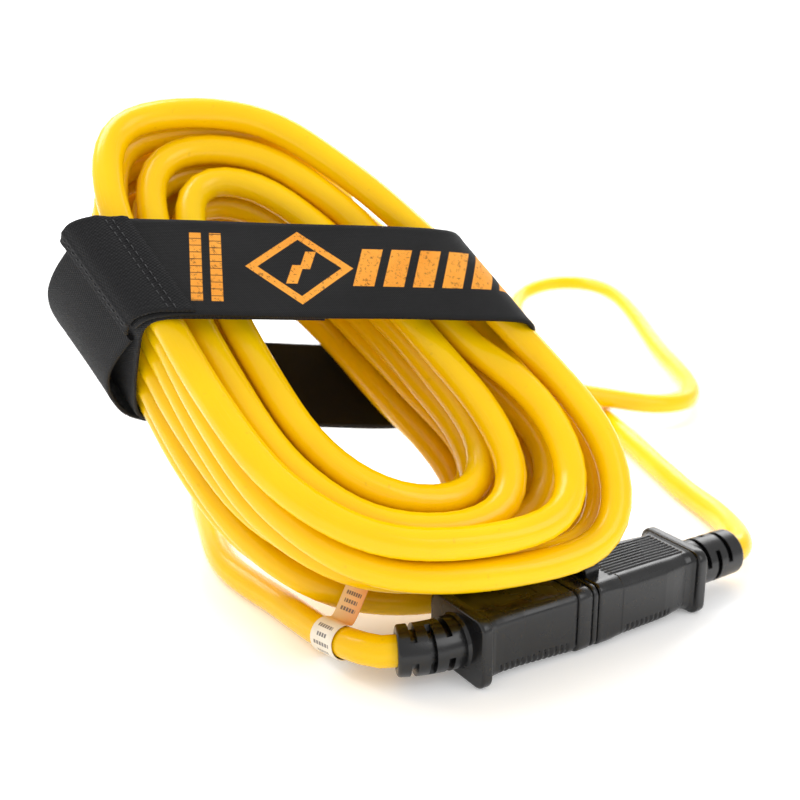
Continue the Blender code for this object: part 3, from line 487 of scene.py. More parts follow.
def sheath_radius(run, angle):
    """The jacket follows the three twisted cores under it very slightly."""
    return CABLE_R - LAY_SWELL + LAY_SWELL * np.cos(3 * (angle - 2 * pi * run / LAY_LENGTH))


def cable(pair, strap, band, mats):
    path, rigid = cable_centreline(pair, strap, band)
    _, side, up = carried_axes(path)
    run = run_length(path)
    start = int(np.searchsorted(run, run[rigid] + TAIL_RIGID))
    stop = int(np.searchsorted(run, run[start] + TAIL_BEND))
    tail, coil = slice(0, stop + 1), slice(stop, None)
    pieces = []
    for name, part, node in (("plug_tail_sheath", tail, "plug_tail_jacket"),
                             ("coil_sheath", coil, "cable_jacket")):
        obj = tube(name, path[part], side[part], up[part], sheath_radius, SHEATH_SIDES,
                   SHEATH_WALL, run[part])
        obj.data.materials.append(mats["yellow_jacket"])
        pieces.append(finish(obj, node))
    for index, pole in enumerate(("line", "neutral", "ground")):
        for label, part, node in (("plug_tail_", tail, f"plug_{pole}_lead"),
                                  ("coil_", coil, f"{pole}_conductor")):
            core, core_run = core_path(path, side, up, run, index, part)
            _, core_side, core_up = carried_axes(core)
            obj = tube(f"{label}{pole}_core", core, core_side, core_up, CORE_R, CORE_SIDES,
                       run=core_run)
            obj.data.materials.append(mats[pole + "_insulation"])
            pieces.append(finish(obj, node))
    for obj in pieces:
        if "plug_tail" in obj.name:
            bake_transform(obj)
        else:
            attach(obj, "root")
    return path


def core_path(path, side, up, run, index, part):
    """One of the three cores, twisted with its neighbours inside the sheath."""
    angle = 2 * pi * (run / LAY_LENGTH + index / 3)
    core = path + CORE_OFFSET * (np.cos(angle)[:, None] * side + np.sin(angle)[:, None] * up)
    return core[part], run[part]


# ---- overmoulds ----------------------------------------------------------------------
def reach(angle, w, h, r, chamfer):
    """Distance from the middle of a rounded, chamfered rectangle to its outline."""
    c, s = np.maximum(np.abs(np.cos(angle)), 1e-6), np.maximum(np.abs(np.sin(angle)), 1e-6)
    flat = np.minimum(w / c, h / s)
    y, z = flat * c, flat * s
    b = c * (w - r) + s * (h - r)
    d = (w - r) ** 2 + (h - r) ** 2 - r * r
    arc = b + np.sqrt(np.maximum(b * b - d, 0))
    rounded = np.where((y > w - r) & (z > h - r), arc, flat)
    if chamfer <= 0:
        return rounded
    slope = (w + h - chamfer) / (c + s)
    soft = 46.0
    return (rounded ** -soft + slope ** -soft) ** (-1 / soft)


def ring_angles():
    """Angles round the axis: closely spaced across the top, where the fine ribs are."""
    top_y = np.arange(8.8, -8.81, -0.18) * MM
    top = [atan2(FACE_H, y) for y in top_y]
    rest = np.linspace(top[-1], top[0] + 2 * pi, 96)[1:-1]
    return np.array(top + list(rest))


def key_stations(keys, marks):
    """Station values between keys (x, half width, top, bottom, corner radius, chamfer)."""
    keys = np.array(keys)
    xs = np.unique(np.round(np.concatenate([keys[:, 0], marks]), 8))
    return [(x, *[np.interp(x, keys[:, 0], keys[:, c]) for c in range(1, 6)]) for x in xs]


def fine_marks(x0, x1, step):
    return np.linspace(x0, x1, max(2, round((x1 - x0) / step) + 1))


def edge_marks(spots, soft):
    """Marks on both sides of each feature edge, so that its wall is steep."""
    return np.concatenate([[x - soft, x + soft] for x in spots])


def band_mask(x, lo, hi, soft):
    """1 between lo and hi, 0 outside, with steep sides soft wide."""
    return np.clip((x - lo) / soft + 0.5, 0, 1) * np.clip((hi - x) / soft + 0.5, 0, 1)


def boot_depth(x, angle, slots):
    """Depth of the relief slots cut round a boot at one station."""
    depth = np.zeros_like(angle)
    for centre, half, turn, span in slots:
        off = np.abs((angle - turn + pi) % (2 * pi) - pi)
        depth = np.maximum(depth, band_mask(x, centre - half, centre + half, 0.16 * MM)
                           * np.clip((span / 2 - off) / radians(5) + 0.5, 0, 1))
    return SLOT_DEPTH * depth


def cut_slots(ring, angle, slots):
    """Sinks a boot's relief slots into one ring, in place."""
    cut = boot_depth(ring[0, 0], angle, slots)
    ring[:, 1] -= np.cos(angle) * cut
    ring[:, 2] -= np.sin(angle) * cut


def slot_edges(slots):
    """Stations on both sides of each slot's two walls."""
    return edge_marks([c + s * h for c, h, _, _ in slots[::2] for s in (-1, 1)], 0.08 * MM)


def boot_bend(local):
    """Points of the plug once its boot has given way."""
    x, y, z = local.T
    run = np.maximum(PLUG_ROOT - x, 0)
    radius = PLUG_BOOT / PLUG_BOOT_TURN
    turn = PLUG_BOOT_TURN * np.minimum(run / PLUG_BOOT, 1)
    past = np.maximum(run - PLUG_BOOT, 0)
    bent_x = x + run - radius * np.sin(turn) - past * np.cos(turn) + y * np.sin(turn)
    bent_y = radius * (1 - np.cos(turn)) + past * np.sin(turn) + y * np.cos(turn)
    return np.stack([bent_x, bent_y, z], 1)


def comb(ring, x0, x1):
    """Sinks the cross ribs into the underside and its two lower edges."""
    x, y, z = ring[0, 0], ring[:, 1], ring[:, 2]
    wave = np.sin(2 * pi * x / COMB_PITCH)
    rib = 0.5 + 0.5 * np.sign(wave) * np.abs(wave) ** 0.35
    depth = COMB_DEPTH * rib * band_mask(x, x0, x1, 0.4 * MM)
    bottom = z < 0.9 * z.min()
    edge = (z < COMB_TOP) & (np.abs(y) > 0.8 * y.max())
    z[bottom] += depth
    y[edge] -= np.sign(y[edge]) * depth


def overmold(name, pair, outer, inner, detail, extras=(), bend=None):
    """A closed shell: outer stations one way, the cavity's stations back.

    detail shapes each outer ring in place; bend moves the finished points."""
    angle = ring_angles()
    count = len(angle)
    skin = []
    for x, w, top, bottom, r, chamfer in outer:
        centre, h = (top + bottom) / 2, (top - bottom) / 2
        dist = reach(angle, w, h, min(r, w, h), chamfer)
        y, z = dist * np.cos(angle), centre + dist * np.sin(angle)
        skin.append(np.stack([np.full(count, x), y, z], 1))
        detail(skin[-1], angle)
    hollow = []
    for x, w, h, r in inner:
        dist = reach(angle, w, h, min(r, w, h), 0)
        hollow.append(np.stack([np.full(count, x), dist * np.cos(angle), dist * np.sin(angle)], 1))
    shell = np.array(skin + hollow)
    rows = len(shell)
    faces = grid_faces(rows, count)
    last = (rows - 1) * count
    faces += [(last + k, last + (k + 1) % count, (k + 1) % count, k) for k in range(count)]
    local = shell.reshape(-1, 3)
    placed = bend(local) if bend else local
    obj = new_object(name, pair.world(placed), [f[::-1] for f in faces],
                     np.stack([local[:, 0], local[:, 1] + local[:, 2]], 1), sharp=SMOOTH_BELOW)
    for extra in extras:
        merge_into(obj, extra)
    obj.data.set_sharp_from_angle(angle=radians(SMOOTH_BELOW))
    return obj


def merge_into(obj, extra):
    bm = bmesh.new()
    bm.from_mesh(obj.data)
    bm.from_mesh(extra.data)
    bm.to_mesh(obj.data)
    bm.free()
    bpy.data.objects.remove(extra, do_unlink=True)
    obj.data.shade_smooth()


def rounded_rims(x0, x1, size, count=FILLET_STEPS):
    """Places and insets of a plate between x0 and x1, with both of its rims rounded over."""
    keys = []
    for a in np.linspace(0, pi / 2, count):
        keys.append((x0 + size * (1 - cos(a)), size * (1 - sin(a))))
    return keys + [(x0 + x1 - x, inset) for x, inset in reversed(keys)]


def fillet_keys(x0, x1, w, top, bottom, r, size=FILLET):
    """Stations of a plate whose two rims are rounded over."""
    return [(x, w - i, top - i, bottom + i, r, 0.0) for x, i in rounded_rims(x0, x1, size)]


def relief_slots(first, pitch, count, half, turn, span):
    """Rows of slots (place, half width, turn, span), two to a row, each row a quarter on."""
    return [(first + pitch * k, half, radians(turn + 90 * (k % 2)) + side * pi, radians(span))
            for k in range(count) for side in (0, 1)]


def boot_key(x, r):
    """A station where the boot is round."""
    return (x, r, r, -r, BOOT_CORNER, 0)


def boot_lip(x, way, grow):
    """The rounded lip that ends a boot, from the outside inwards."""
    keys = []
    for a in np.linspace(0, pi / 2, FILLET_STEPS):
        place = x - way * (BOOT_LIP * (1 - sin(a)) + 1e-6)
        keys.append(boot_key(place, grow - BOOT_LIP * (1 - cos(a))))
    return keys + [boot_key(x, BOOT_R - 1.3 * MM)]


def boot_foot(root, way):
    """Two stations where a boot meets its flange, from the flange outwards."""
    return [boot_key(root + way * 0.05 * MM, BOOT_R + BOOT_STEP),
            boot_key(root + way * 0.8 * MM, BOOT_R)]


def bore_key(x, wider=0.0):
    """A cavity station where only the round bore is left."""
    return (x, *[BORE_R + wider] * 3)


def plug_skin(pair, mats):
    half_h = pair.local(corners("plug_overmold")[0])[:, 2].max()
    root, tail = PLUG_ROOT, PLUG_ROOT - PLUG_BOOT
    flange = root + FLANGE_T
    keys = boot_lip(tail, -1, 0.95 * BOOT_R)[::-1] + boot_foot(root, -1)[::-1]
    keys += fillet_keys(root, flange, PLUG_HALF, half_h, -half_h, 3.6 * MM)
    keys += [
        (flange + 0.1 * MM, 11.5 * MM, 9.7 * MM, -10.0 * MM, 3.4 * MM, 0),
        (flange + 0.9 * MM, 10.8 * MM, 9.3 * MM, -9.7 * MM, 3.0 * MM, 0.8 * MM),
        (flange + 2.6 * MM, 10.4 * MM, 9.15 * MM, -9.4 * MM, 2.6 * MM, 1.5 * MM),
        (flange + 5.5 * MM, 10.3 * MM, 9.15 * MM, -9.3 * MM, 2.4 * MM, 1.7 * MM),
        (-26 * MM, 10.4 * MM, 9.2 * MM, -9.3 * MM, 2.4 * MM, 1.7 * MM),
        (-COLLAR - 1.6 * MM, 11.6 * MM, 9.65 * MM, -9.6 * MM, 2.4 * MM, 1.7 * MM),
        (-COLLAR - 1.5 * MM, 11.2 * MM, 9.3 * MM, -9.4 * MM, 2.4 * MM, 1.6 * MM),
        (-COLLAR - 0.5 * MM, 11.2 * MM, 9.3 * MM, -9.4 * MM, 2.4 * MM, 1.6 * MM),
    ]
    keys += fillet_keys(-COLLAR - 0.4 * MM, -2.6 * MM, FACE_W, FACE_H, -FACE_H, 3.2 * MM, 0.6 * MM)
    groove_w, groove_h = FACE_W - 0.6 * MM, FACE_H - 0.6 * MM
    keys += [(x * MM, groove_w, groove_h, -groove_h, 3.0 * MM, 0) for x in (-2.5, -1.9)]
    keys += fillet_keys(-1.8 * MM, 0, FACE_W - 0.15 * MM, FACE_H - 0.1 * MM, 0.1 * MM - FACE_H,
                        3.2 * MM, 0.5 * MM)
    pitch = PLUG_BOOT / 4
    slots = relief_slots(tail + pitch - 0.5 * MM, pitch, 3, 0.75 * MM, 70, 128)
    marks = np.concatenate([slot_edges(slots), edge_marks(PLUG_INSET, 0.1 * MM),
                            fine_marks(-34.5 * MM, -COLLAR - 2.6 * MM, 0.22 * MM),
                            fine_marks(tail + 1 * MM, root - 1 * MM, 0.8 * MM),
                            fine_marks(flange + 0.4 * MM, -8.6 * MM, 0.7 * MM)])

    def detail(ring, angle):
        x, y, z = ring[0, 0], ring[:, 1], ring[:, 2]
        if x < root - 0.2 * MM:
            cut_slots(ring, angle, slots)
        elif flange + 1.0 * MM < x < -COLLAR - 1.6 * MM:
            over = z > 0.93 * z.max()
            crown = 0.5 * MM * (1 - (y / (8.8 * MM)) ** 2).clip(0)
            fade = ease((x - flange - 1 * MM) / (5 * MM)) * ease((-COLLAR - 1.6 * MM - x) / (5 * MM))
            panel = band_mask(x, *PLUG_INSET, 0.3 * MM)
            panel = panel * band_mask(y, -4.6 * MM, 4.6 * MM, 0.4 * MM)
            z[over] += (crown * fade - 0.22 * MM * panel)[over]
            comb(ring, -34 * MM, -COLLAR - 3 * MM)

    cavity = [(0, *CAVITY), (-9.2 * MM, *CAVITY), (-10.2 * MM, *LEAD_ROOM), (-26 * MM, *LEAD_ROOM)]
    cavity += [bore_key(x) for x in fine_marks(root + 6 * MM, tail + 0.4 * MM, 2 * MM)]
    cavity.append(bore_key(tail, BORE_RIM))
    obj = overmold("plug_body", pair, key_stations(keys, marks), cavity, detail, bend=boot_bend)
    obj.data.materials.append(mats["black_overmold"])
    finish(obj, "plug_overmold", "plug")


def finger_tab(pair):
    """Half-round tab on the connector's top at the seam, with rounded rims."""
    radius, x0, x1, foot = 5.2 * MM, 0.4 * MM, 5.9 * MM, 1.6 * MM
    base = FACE_H + 1 * MM
    arc = [(radius * cos(pi * k / 28), radius * sin(pi * k / 28)) for k in range(29)]
    outline = np.array([(radius, -foot)] + arc + [(-radius, -foot)])
    rows = rounded_rims(x0, x1, TAB_RIM, 6)
    verts = []
    for x, inset in rows:
        scale = (radius - inset) / radius
        verts += [(x, y * scale, base + z * scale) for y, z in outline]
    count = len(outline)
    faces = grid_faces(len(rows), count) + cap_faces(len(rows), count)
    return new_object("tab", pair.world(np.array(verts)), [f[::-1] for f in faces], sharp=40)


def connector_skin(pair, mats):
    local = pair.local(corners("connector_overmold")[0])
    end, half_w, low = local[:, 0].max(), local[:, 1].max(), local[:, 2].min()
    root = end - CONNECTOR_BOOT
    flange = root - FLANGE_T
    keys = fillet_keys(0.3 * MM, 8.6 * MM, FACE_W, FACE_H, -FACE_H, 3.0 * MM, 0.7 * MM)[:FILLET_STEPS]
    for x, wider, taller, deeper, corner, chamfer in (        # changes from the face's size, in mm
            (9.3 * MM, 0, 0, 0, 3.0, 2.4), (9.45 * MM, 0.09, 0.09, 0, 3.0, 2.4),
            (9.7 * MM, 0.09, 0.09, 0, 3.0, 2.4), (9.85 * MM, -0.1, 0, 0, 3.0, 2.4),
            (27 * MM, -0.3, -0.1, -0.15, 3.0, 2.4), (30.5 * MM, -0.6, -0.2, -0.4, 3.0, 2.2),
            (flange - 3.2 * MM, -1.3, -0.3, -0.9, 3.0, 2.2),
            (flange - 1.2 * MM, -1.1, -0.2, -0.5, 3.0, 1.8),
            (flange - 0.1 * MM, -0.4, 0.1, 0.2, 3.2, 0.6)):
        keys.append((x, FACE_W + wider * MM, FACE_H + taller * MM, -FACE_H - deeper * MM,
                     corner * MM, chamfer * MM))
    keys += fillet_keys(flange, root, half_w, -low, low, 3.6 * MM)
    keys += boot_foot(root, 1) + boot_lip(end, 1, 0.97 * BOOT_R)
    slots = relief_slots(root + 2.6 * MM, 4.7 * MM, 4, 0.85 * MM, 20, 122)
    grip = (7.6 * MM, flange - 1.8 * MM)
    marks = np.concatenate([slot_edges(slots), edge_marks(grip, 0.12 * MM),
                            fine_marks(9.9 * MM, 30 * MM, 0.22 * MM),
                            fine_marks(root + 1 * MM, end - 1 * MM, 0.8 * MM),
                            fine_marks(1 * MM, flange - 0.4 * MM, 0.6 * MM)])

    def detail(ring, angle):
        x, y, z = ring[0, 0], ring[:, 1], ring[:, 2]
        if x > root + 0.2 * MM:
            cut_slots(ring, angle, slots)
        elif 0.9 * MM < x < flange - 0.2 * MM:
            over = z > 0.95 * z.max()
            field = band_mask(x, *grip, 0.24 * MM) * band_mask(y, -GRIP_HALF, GRIP_HALF, 0.3 * MM)
            rib = 0.5 - 0.5 * np.cos(2 * pi * y / GRIP_PITCH)
            z[over] -= (GRIP_DEPTH * field * rib ** 1.6)[over]
            comb(ring, 10.6 * MM, 29 * MM)

    cavity = [bore_key(end, BORE_RIM), bore_key(end - 0.4 * MM), bore_key(root - 2 * MM),
              (33 * MM, *LEAD_ROOM), (25 * MM, *LEAD_ROOM), (24 * MM, *CAVITY), (0.3 * MM, *CAVITY)]
    obj = overmold("connector_body", pair, key_stations(keys, marks), cavity, detail,
                   [finger_tab(pair)])
    obj.data.materials.append(mats["black_overmold"])
    finish(obj, "connector_overmold", "root")


# ---- strap ---------------------------------------------------------------------------
def normals_2d(mid):
    """Outward unit normals of a line in the strap's XZ plane."""
    ahead = np.gradient(mid, axis=0)
    normal = np.stack([ahead[:, 1], -ahead[:, 0]], 1)
    return normal / np.linalg.norm(normal, axis=1)[:, None]


def ribbon(name, strap, mid, half, thick, mat, shape=None, from_end=False, count=30, hidden=0.0):
    """A woven strip on a line in the strap's XZ plane; shape lifts its surfaces.

    Its texture runs along the strip, from hidden past its start."""
    normal = normals_2d(mid)
    run = run_length(mid)
    mark = (run[-1] - run if from_end else run) - hidden
    way = 1.0 if (mid[-1, 0] > mid[0, 0]) != from_end else -1.0
    straight = half - EDGE_R
    across = np.linspace(-straight, straight, count)
    bend = np.linspace(-pi / 2, pi / 2, 5)[1:-1]
    ring = [(y, 1.0) for y in across]
    ring += [(straight + EDGE_R * cos(a), -sin(a)) for a in bend]
    ring += [(y, -1.0) for y in across[::-1]]
    ring += [(-straight - EDGE_R * cos(a), sin(a)) for a in bend]
    ring = np.array(ring)
    size = len(ring)
    y, face = ring[:, 0], ring[:, 1]
    selvage = 1 + 0.16 * band_mask(np.abs(y), half - 1.6 * MM, straight, 0.5 * MM)
    verts, uvs = [], []
    for i, (px, pz) in enumerate(mid):
        lift = shape(mark[i], y, face) if shape else 0.0
        z = face * thick / 2 * selvage + lift
        points = np.stack([px + normal[i, 0] * z, y * strap.stretch + strap.slant * px,
                           pz + normal[i, 1] * z], 1)
        verts.append(points)
        uvs.append(np.stack([mark[i] * strap.stretch + way * y * strap.slant, y], 1))
    faces = grid_faces(len(mid), size) + cap_faces(len(mid), size)
    obj = new_object(name, strap.world(np.vstack(verts)), [f[::-1] for f in faces],
                     np.vstack(uvs), sharp=50)
    outside = obj.data.attributes.new("outside", "FLOAT", "POINT")
    outside.data.foreach_set("value", np.tile(face, len(mid)).astype(np.float32))
    obj.data.materials.append(mat)
    return obj


def cloth_wave(size, phase):
    """Soft unevenness of a strap that lies over separate strands."""
    def shape(u, y, face):
        return size * (np.sin(u / (7.3 * MM) + phase + 0.6 * np.sin(y / (9 * MM)))
                       * np.cos(y / (11 * MM) + phase) * 0.6
                       + 0.4 * np.sin(u / (16 * MM) - 1.3 * phase))
    return shape


def stitch(spot, way, out):
    """One thread stitch: a short bowed strand that dips into the cloth at both ends."""
    side = np.cross(out, way)
    verts = []
    rows, sides = 5, 6
    for k in range(rows):
        t = k / (rows - 1) * 2 - 1
        middle = spot + way * t * STITCH / 2 + out * (0.12 * MM - 0.3 * MM * t ** 4)
        girth = THREAD_R * (1 - 0.45 * t ** 4)
        for j in range(sides):
            a = 2 * pi * j / sides
            verts.append(middle + girth * (cos(a) * side + sin(a) * out))
    return verts, grid_faces(rows, sides) + cap_faces(rows, sides)


def stitch_rows(name, rows, mat):
    """Rows of stitches in one object; a row is its spots, way and outward direction."""
    verts, faces = [], []
    for spots, way, out in rows:
        for spot in spots:
            v, f = stitch(np.array(spot), way, out)
            faces += [[i + len(verts) for i in face] for face in f]
            verts += v
    obj = new_object(name, verts, faces)
    obj.data.materials.append(mat)
    return obj


def at_run(mid, run_at):
    """Point and outward normal at a distance along a 2D line."""
    run = run_length(mid)
    normal = normals_2d(mid)
    point = np.array([np.interp(run_at, run, mid[:, a]) for a in range(2)])
    out = np.array([np.interp(run_at, run, normal[:, a]) for a in range(2)])
    return point, out / np.linalg.norm(out)


def cross_row(strap, mid, run_at, lift, half, pitch):
    """A row of stitches across the strap, at a distance along a 2D line."""
    point, out = at_run(mid, run_at)
    spot = point + out * lift
    ys = np.arange(-half, half + 1e-9, pitch)
    spots = [strap.world((spot[0], y * strap.stretch + strap.slant * spot[0], spot[1]))
             for y in ys]
    return spots, strap.axes[1], out[0] * strap.axes[0] + out[1] * strap.axes[2]


def outline_of(strap, node):
    """Middle line of a strap solid in the strap's XZ plane, from its end at the hinge."""
    return strap.local(centres(strap_sections(strap, node)))[:, [0, 2]]


def fine_line(line, step, rounds):
    """A strap's middle line as a smooth curve at close spacing."""
    return smoothed(resample(spline(line, step), step), rounds)


def strap_band(strap, band, mats):
    line = fine_line(band, STRAP_STEP, 6)
    obj = ribbon("strap_band", strap, line, STRAP_HALF, STRAP_T, mats["webbing"],
                 cloth_wave(0.22 * MM, 0.4))
    finish(obj, "strap_base_band", "root")


def printed_panel_piece(strap, band, flap, hem, mats):
    """The outer layer: the flap, and its stretch past the hinge that stays on the band."""
    over = band + normals_2d(band) * PANEL_LIFT
    line = fine_line(np.vstack([over[-PANEL_PAST_HINGE:-1], flap]), STRAP_STEP, 6)
    under_hem = np.linalg.norm(flap[-1] - hem[0])
    obj = ribbon("strap_printed_panel", strap, line, STRAP_HALF, STRAP_T, mats["printed_panel"],
                 cloth_wave(0.28 * MM, 1.7), from_end=True, hidden=under_hem)
    finish(obj, "strap_printed_flap")
    start, end = [strap.world((x, 0, z)) for x, z in (printed_at(line, m) for m in HINGE_BEND)]
    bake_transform(obj)


def pull_hem(strap, hem, mats):
    """The flap's folded end, with the ridges of its fold and three sewn seams."""
    line = fine_line(hem, HEM_STEP, 12)
    length = run_length(line)[-1]

    def shape(u, y, face):
        share = u / length
        ridge = 0.32 * MM * sum(np.exp(-((share - c) / 0.035) ** 2) for c in HEM_RIDGES)
        groove = 0.25 * MM * np.exp(-((share - HEM_SEAMS[0]) / 0.05) ** 2)
        zig = 0.04 * MM * np.sin(2 * pi * y / (1.3 * MM)) * band_mask(share, 0.36, 0.72, 0.05)
        return np.where(face > 0, ridge - groove + zig, 0.0)

    obj = ribbon("strap_pull_hem_fold", strap, line, STRAP_HALF - 0.5 * MM, STRAP_T,
                 mats["webbing"], shape, count=110)
    finish(obj, "strap_pull_hem", "strap_flap")
    rows = [cross_row(strap, line, length * share, STRAP_T / 2 + 0.05 * MM, STRAP_HALF - 2 * MM,
                      STITCH_PITCH) for share in HEM_SEAMS]
    finish(stitch_rows("strap_hem_stitches", rows, mats["thread"]), None, "strap_flap")


def hanging_loop(strap, loop, mats):
    obj = ribbon("strap_hanging_loop_web", strap, fine_line(loop, STRAP_STEP, 10),
                 STRAP_HALF - 0.7 * MM, STRAP_T, mats["webbing"], cloth_wave(0.3 * MM, 2.9))
    finish(obj, "strap_hanging_loop", "root")


def hook_patch(strap, flap, mats):
    """Hook tape under the flap's outer part."""
    line = flap - normals_2d(flap) * (STRAP_T / 2 + 0.16 * MM)
    outer = fine_line(line[int(0.45 * len(line)):-2], STRAP_STEP, 4)
    obj = ribbon("strap_hook_tape", strap, outer, STRAP_HALF - 2 * MM, 0.3 * MM, mats["hook_tape"])
    finish(obj, "strap_hook_patch", "strap_flap")


def strap_pieces(strap, mats):
    band = outline_of(strap, "strap_base_band")[::-1]       # ends at the hinge
    flap, hem, loop = (outline_of(strap, node) for node in
                       ("strap_printed_flap", "strap_pull_hem", "strap_hanging_loop"))
    strap_band(strap, band, mats)
    printed_panel_piece(strap, band, flap, hem, mats)
    pull_hem(strap, hem, mats)
    hanging_loop(strap, loop, mats)
    hook_patch(strap, flap, mats)


def printed_at(line, past_hinge):
    """Point of the panel's middle line, measured from where it passes the hinge."""
    run = run_length(line)
    at_hinge = run[int(np.argmin(np.linalg.norm(line, axis=1)))]
    return at_run(line, at_hinge + past_hinge)[0]


# ---- label ---------------------------------------------------------------------------
def flag_label(path, mats):
    """Vinyl tag wrapped round the cable, its two ends stuck together as a flag."""
    def from_tip(points):
        apart = points[:, None, :] - path[None, :120, :]
        return -np.linalg.norm(apart, axis=2).min(1)

    found = cross_sections("flag_label", from_tip, 4)
    wide = max((b - a for a in found[0] for b in found[0]), key=np.linalg.norm)
    wide = unit(wide)
    line = spline(centres(found), 0.7 * MM)
    ahead = np.gradient(line, axis=0)
    out = np.cross(ahead, wide)
    out /= np.linalg.norm(out, axis=1)[:, None]
    run = run_length(line)
    across = np.linspace(-LABEL_HALF, LABEL_HALF, 9)
    ring = [(y, 1) for y in across] + [(y, -1) for y in across[::-1]]
    verts, uvs = [], []
    for i, point in enumerate(line):
        for y, face in ring:
            verts.append(point + wide * y + out[i] * face * LABEL_T / 2)
            uvs.append((run[i], y))
    size = len(ring)
    faces = grid_faces(len(line), size) + cap_faces(len(line), size)
    obj = new_object("flag_label_vinyl", verts, faces, uvs, sharp=60)
    obj.data.materials.append(mats["label"])
    finish(obj, "flag_label", "plug")


# ---- materials -----------------------------------------------------------------------
class Finish:
    """One material's node tree, built with short calls."""

    def __init__(self, name):
        self.material = bpy.data.materials.new(name)
        self.material.use_nodes = True
        self.tree = self.material.node_tree
        self.shader = self.tree.nodes["Principled BSDF"]
        self.place = self.add("ShaderNodeTexCoord").outputs["Object"]
        self.uv = self.add("ShaderNodeUVMap").outputs["UV"]

    def add(self, kind, **settings):
        node = self.tree.nodes.new(kind)
        for key, value in settings.items():
            setattr(node, key, value)
        return node

    def feed(self, socket, value):
        if isinstance(value, bpy.types.NodeSocket):
            self.tree.links.new(value, socket)
        else:
            socket.default_value = value

    def put(self, **values):
        for key, value in values.items():
            self.feed(self.shader.inputs[key.replace("_", " ")], value)

    def math(self, operation, a, b=0.0, clamp=False):
        node = self.add("ShaderNodeMath", operation=operation, use_clamp=clamp)
        self.feed(node.inputs[0], a)
        self.feed(node.inputs[1], b)
        return node.outputs[0]

    def times(self, a, b):
        return self.math("MULTIPLY", a, b)

    def ramp(self, value, low, high, out_low=0.0, out_high=1.0):
        node = self.add("ShaderNodeMapRange")
        for key, v in (("Value", value), ("From Min", low), ("From Max", high),
                       ("To Min", out_low), ("To Max", out_high)):
            self.feed(node.inputs[key], v)
        return node.outputs[0]

    def noise(self, scale, detail=3.0, place=None, stretch=None, rough=0.5):
        node = self.add("ShaderNodeTexNoise")
        spot = self.place if place is None else place
        if stretch:
            mapping = self.add("ShaderNodeMapping")
            self.feed(mapping.inputs["Vector"], spot)
            mapping.inputs["Scale"].default_value = stretch
            spot = mapping.outputs[0]
        self.feed(node.inputs["Vector"], spot)
        node.inputs["Scale"].default_value = scale
        node.inputs["Detail"].default_value = detail
        node.inputs["Roughness"].default_value = rough
        return node.outputs["Fac"]

    def cells(self, scale, place=None):
        node = self.add("ShaderNodeTexVoronoi")
        self.feed(node.inputs["Vector"], self.place if place is None else place)
        node.inputs["Scale"].default_value = scale
        return node.outputs["Distance"]

    def blend(self, share, a, b):
        node = self.add("ShaderNodeMix", data_type="RGBA")
        self.feed(node.inputs[0], share)
        self.feed(node.inputs[6], (*a, 1.0) if isinstance(a, tuple) else a)
        self.feed(node.inputs[7], (*b, 1.0) if isinstance(b, tuple) else b)
        return node.outputs[2]

    def bump(self, height, distance, strength=1.0, under=None):
        node = self.add("ShaderNodeBump")
        node.inputs["Distance"].default_value = distance
        node.inputs["Strength"].default_value = strength
        self.feed(node.inputs["Height"], height)
        if under is not None:
            self.feed(node.inputs["Normal"], under)
        return node.outputs[0]

    def uv_parts(self):
        node = self.add("ShaderNodeSeparateXYZ")
        self.feed(node.inputs[0], self.uv)
        return node.outputs[0], node.outputs[1]

    def wave(self, value, period, phase=0.0):
        turned = self.times(value, 2 * pi / period)
        return self.math("SINE", self.math("ADD", turned, phase))

    def box(self, u, v, u0, u1, v0, v1, lean=0.0, soft=0.12 * MM):
        """1 inside a leaning box on the surface, 0 outside."""
        leaned = self.math("SUBTRACT", u, self.times(v, lean)) if lean else u
        result = None
        for value, lo, hi in ((leaned, u0, u1), (v, v0, v1)):
            rise = self.ramp(value, lo, lo + soft)
            fall = self.ramp(value, hi - soft, hi, 1.0, 0.0)
            both = self.times(rise, fall)
            result = both if result is None else self.times(result, both)
        return result

    def union(self, marks):
        total = marks[0]
        for mark in marks[1:]:
            total = self.math("MAXIMUM", total, mark)
        return total


def yellow_jacket():
    f = Finish("yellow_jacket_pvc")
    tone = f.noise(26.0, 3.0)
    base = f.blend(f.ramp(tone, 0.3, 0.7), (0.91, 0.53, 0.0), (0.95, 0.60, 0.001))
    specks = f.ramp(f.noise(420.0, 2.0), 0.70, 0.76)
    base = f.blend(f.times(specks, 0.25), base, (0.55, 0.30, 0.01))
    grime = f.ramp(f.noise(9.0, 5.0, rough=0.7), 0.56, 0.75, 0.0, 0.10)
    base = f.blend(grime, base, (0.62, 0.36, 0.01))
    gloss = f.ramp(f.noise(70.0, 4.0), 0.3, 0.7, 0.17, 0.27)
    scuff = f.ramp(f.noise(160.0, 5.0, place=f.uv, stretch=(0.18, 0.35, 1.0), rough=0.7), 0.60, 0.68)
    rough = f.math("ADD", gloss, f.times(scuff, 0.16))
    ripple = f.bump(f.noise(210.0, 2.0), 0.10 * MM, 0.55)
    grain = f.bump(f.noise(1700.0, 3.0), 0.02 * MM, 0.5, ripple)
    f.put(Base_Color=base, Roughness=rough, Normal=grain, Specular_IOR_Level=0.30, IOR=1.5)
    f.shader.inputs["Subsurface Weight"].default_value = 0.06
    f.shader.inputs["Subsurface Radius"].default_value = (1.0, 0.55, 0.1)
    f.shader.inputs["Subsurface Scale"].default_value = 1.2 * MM
    return f.material


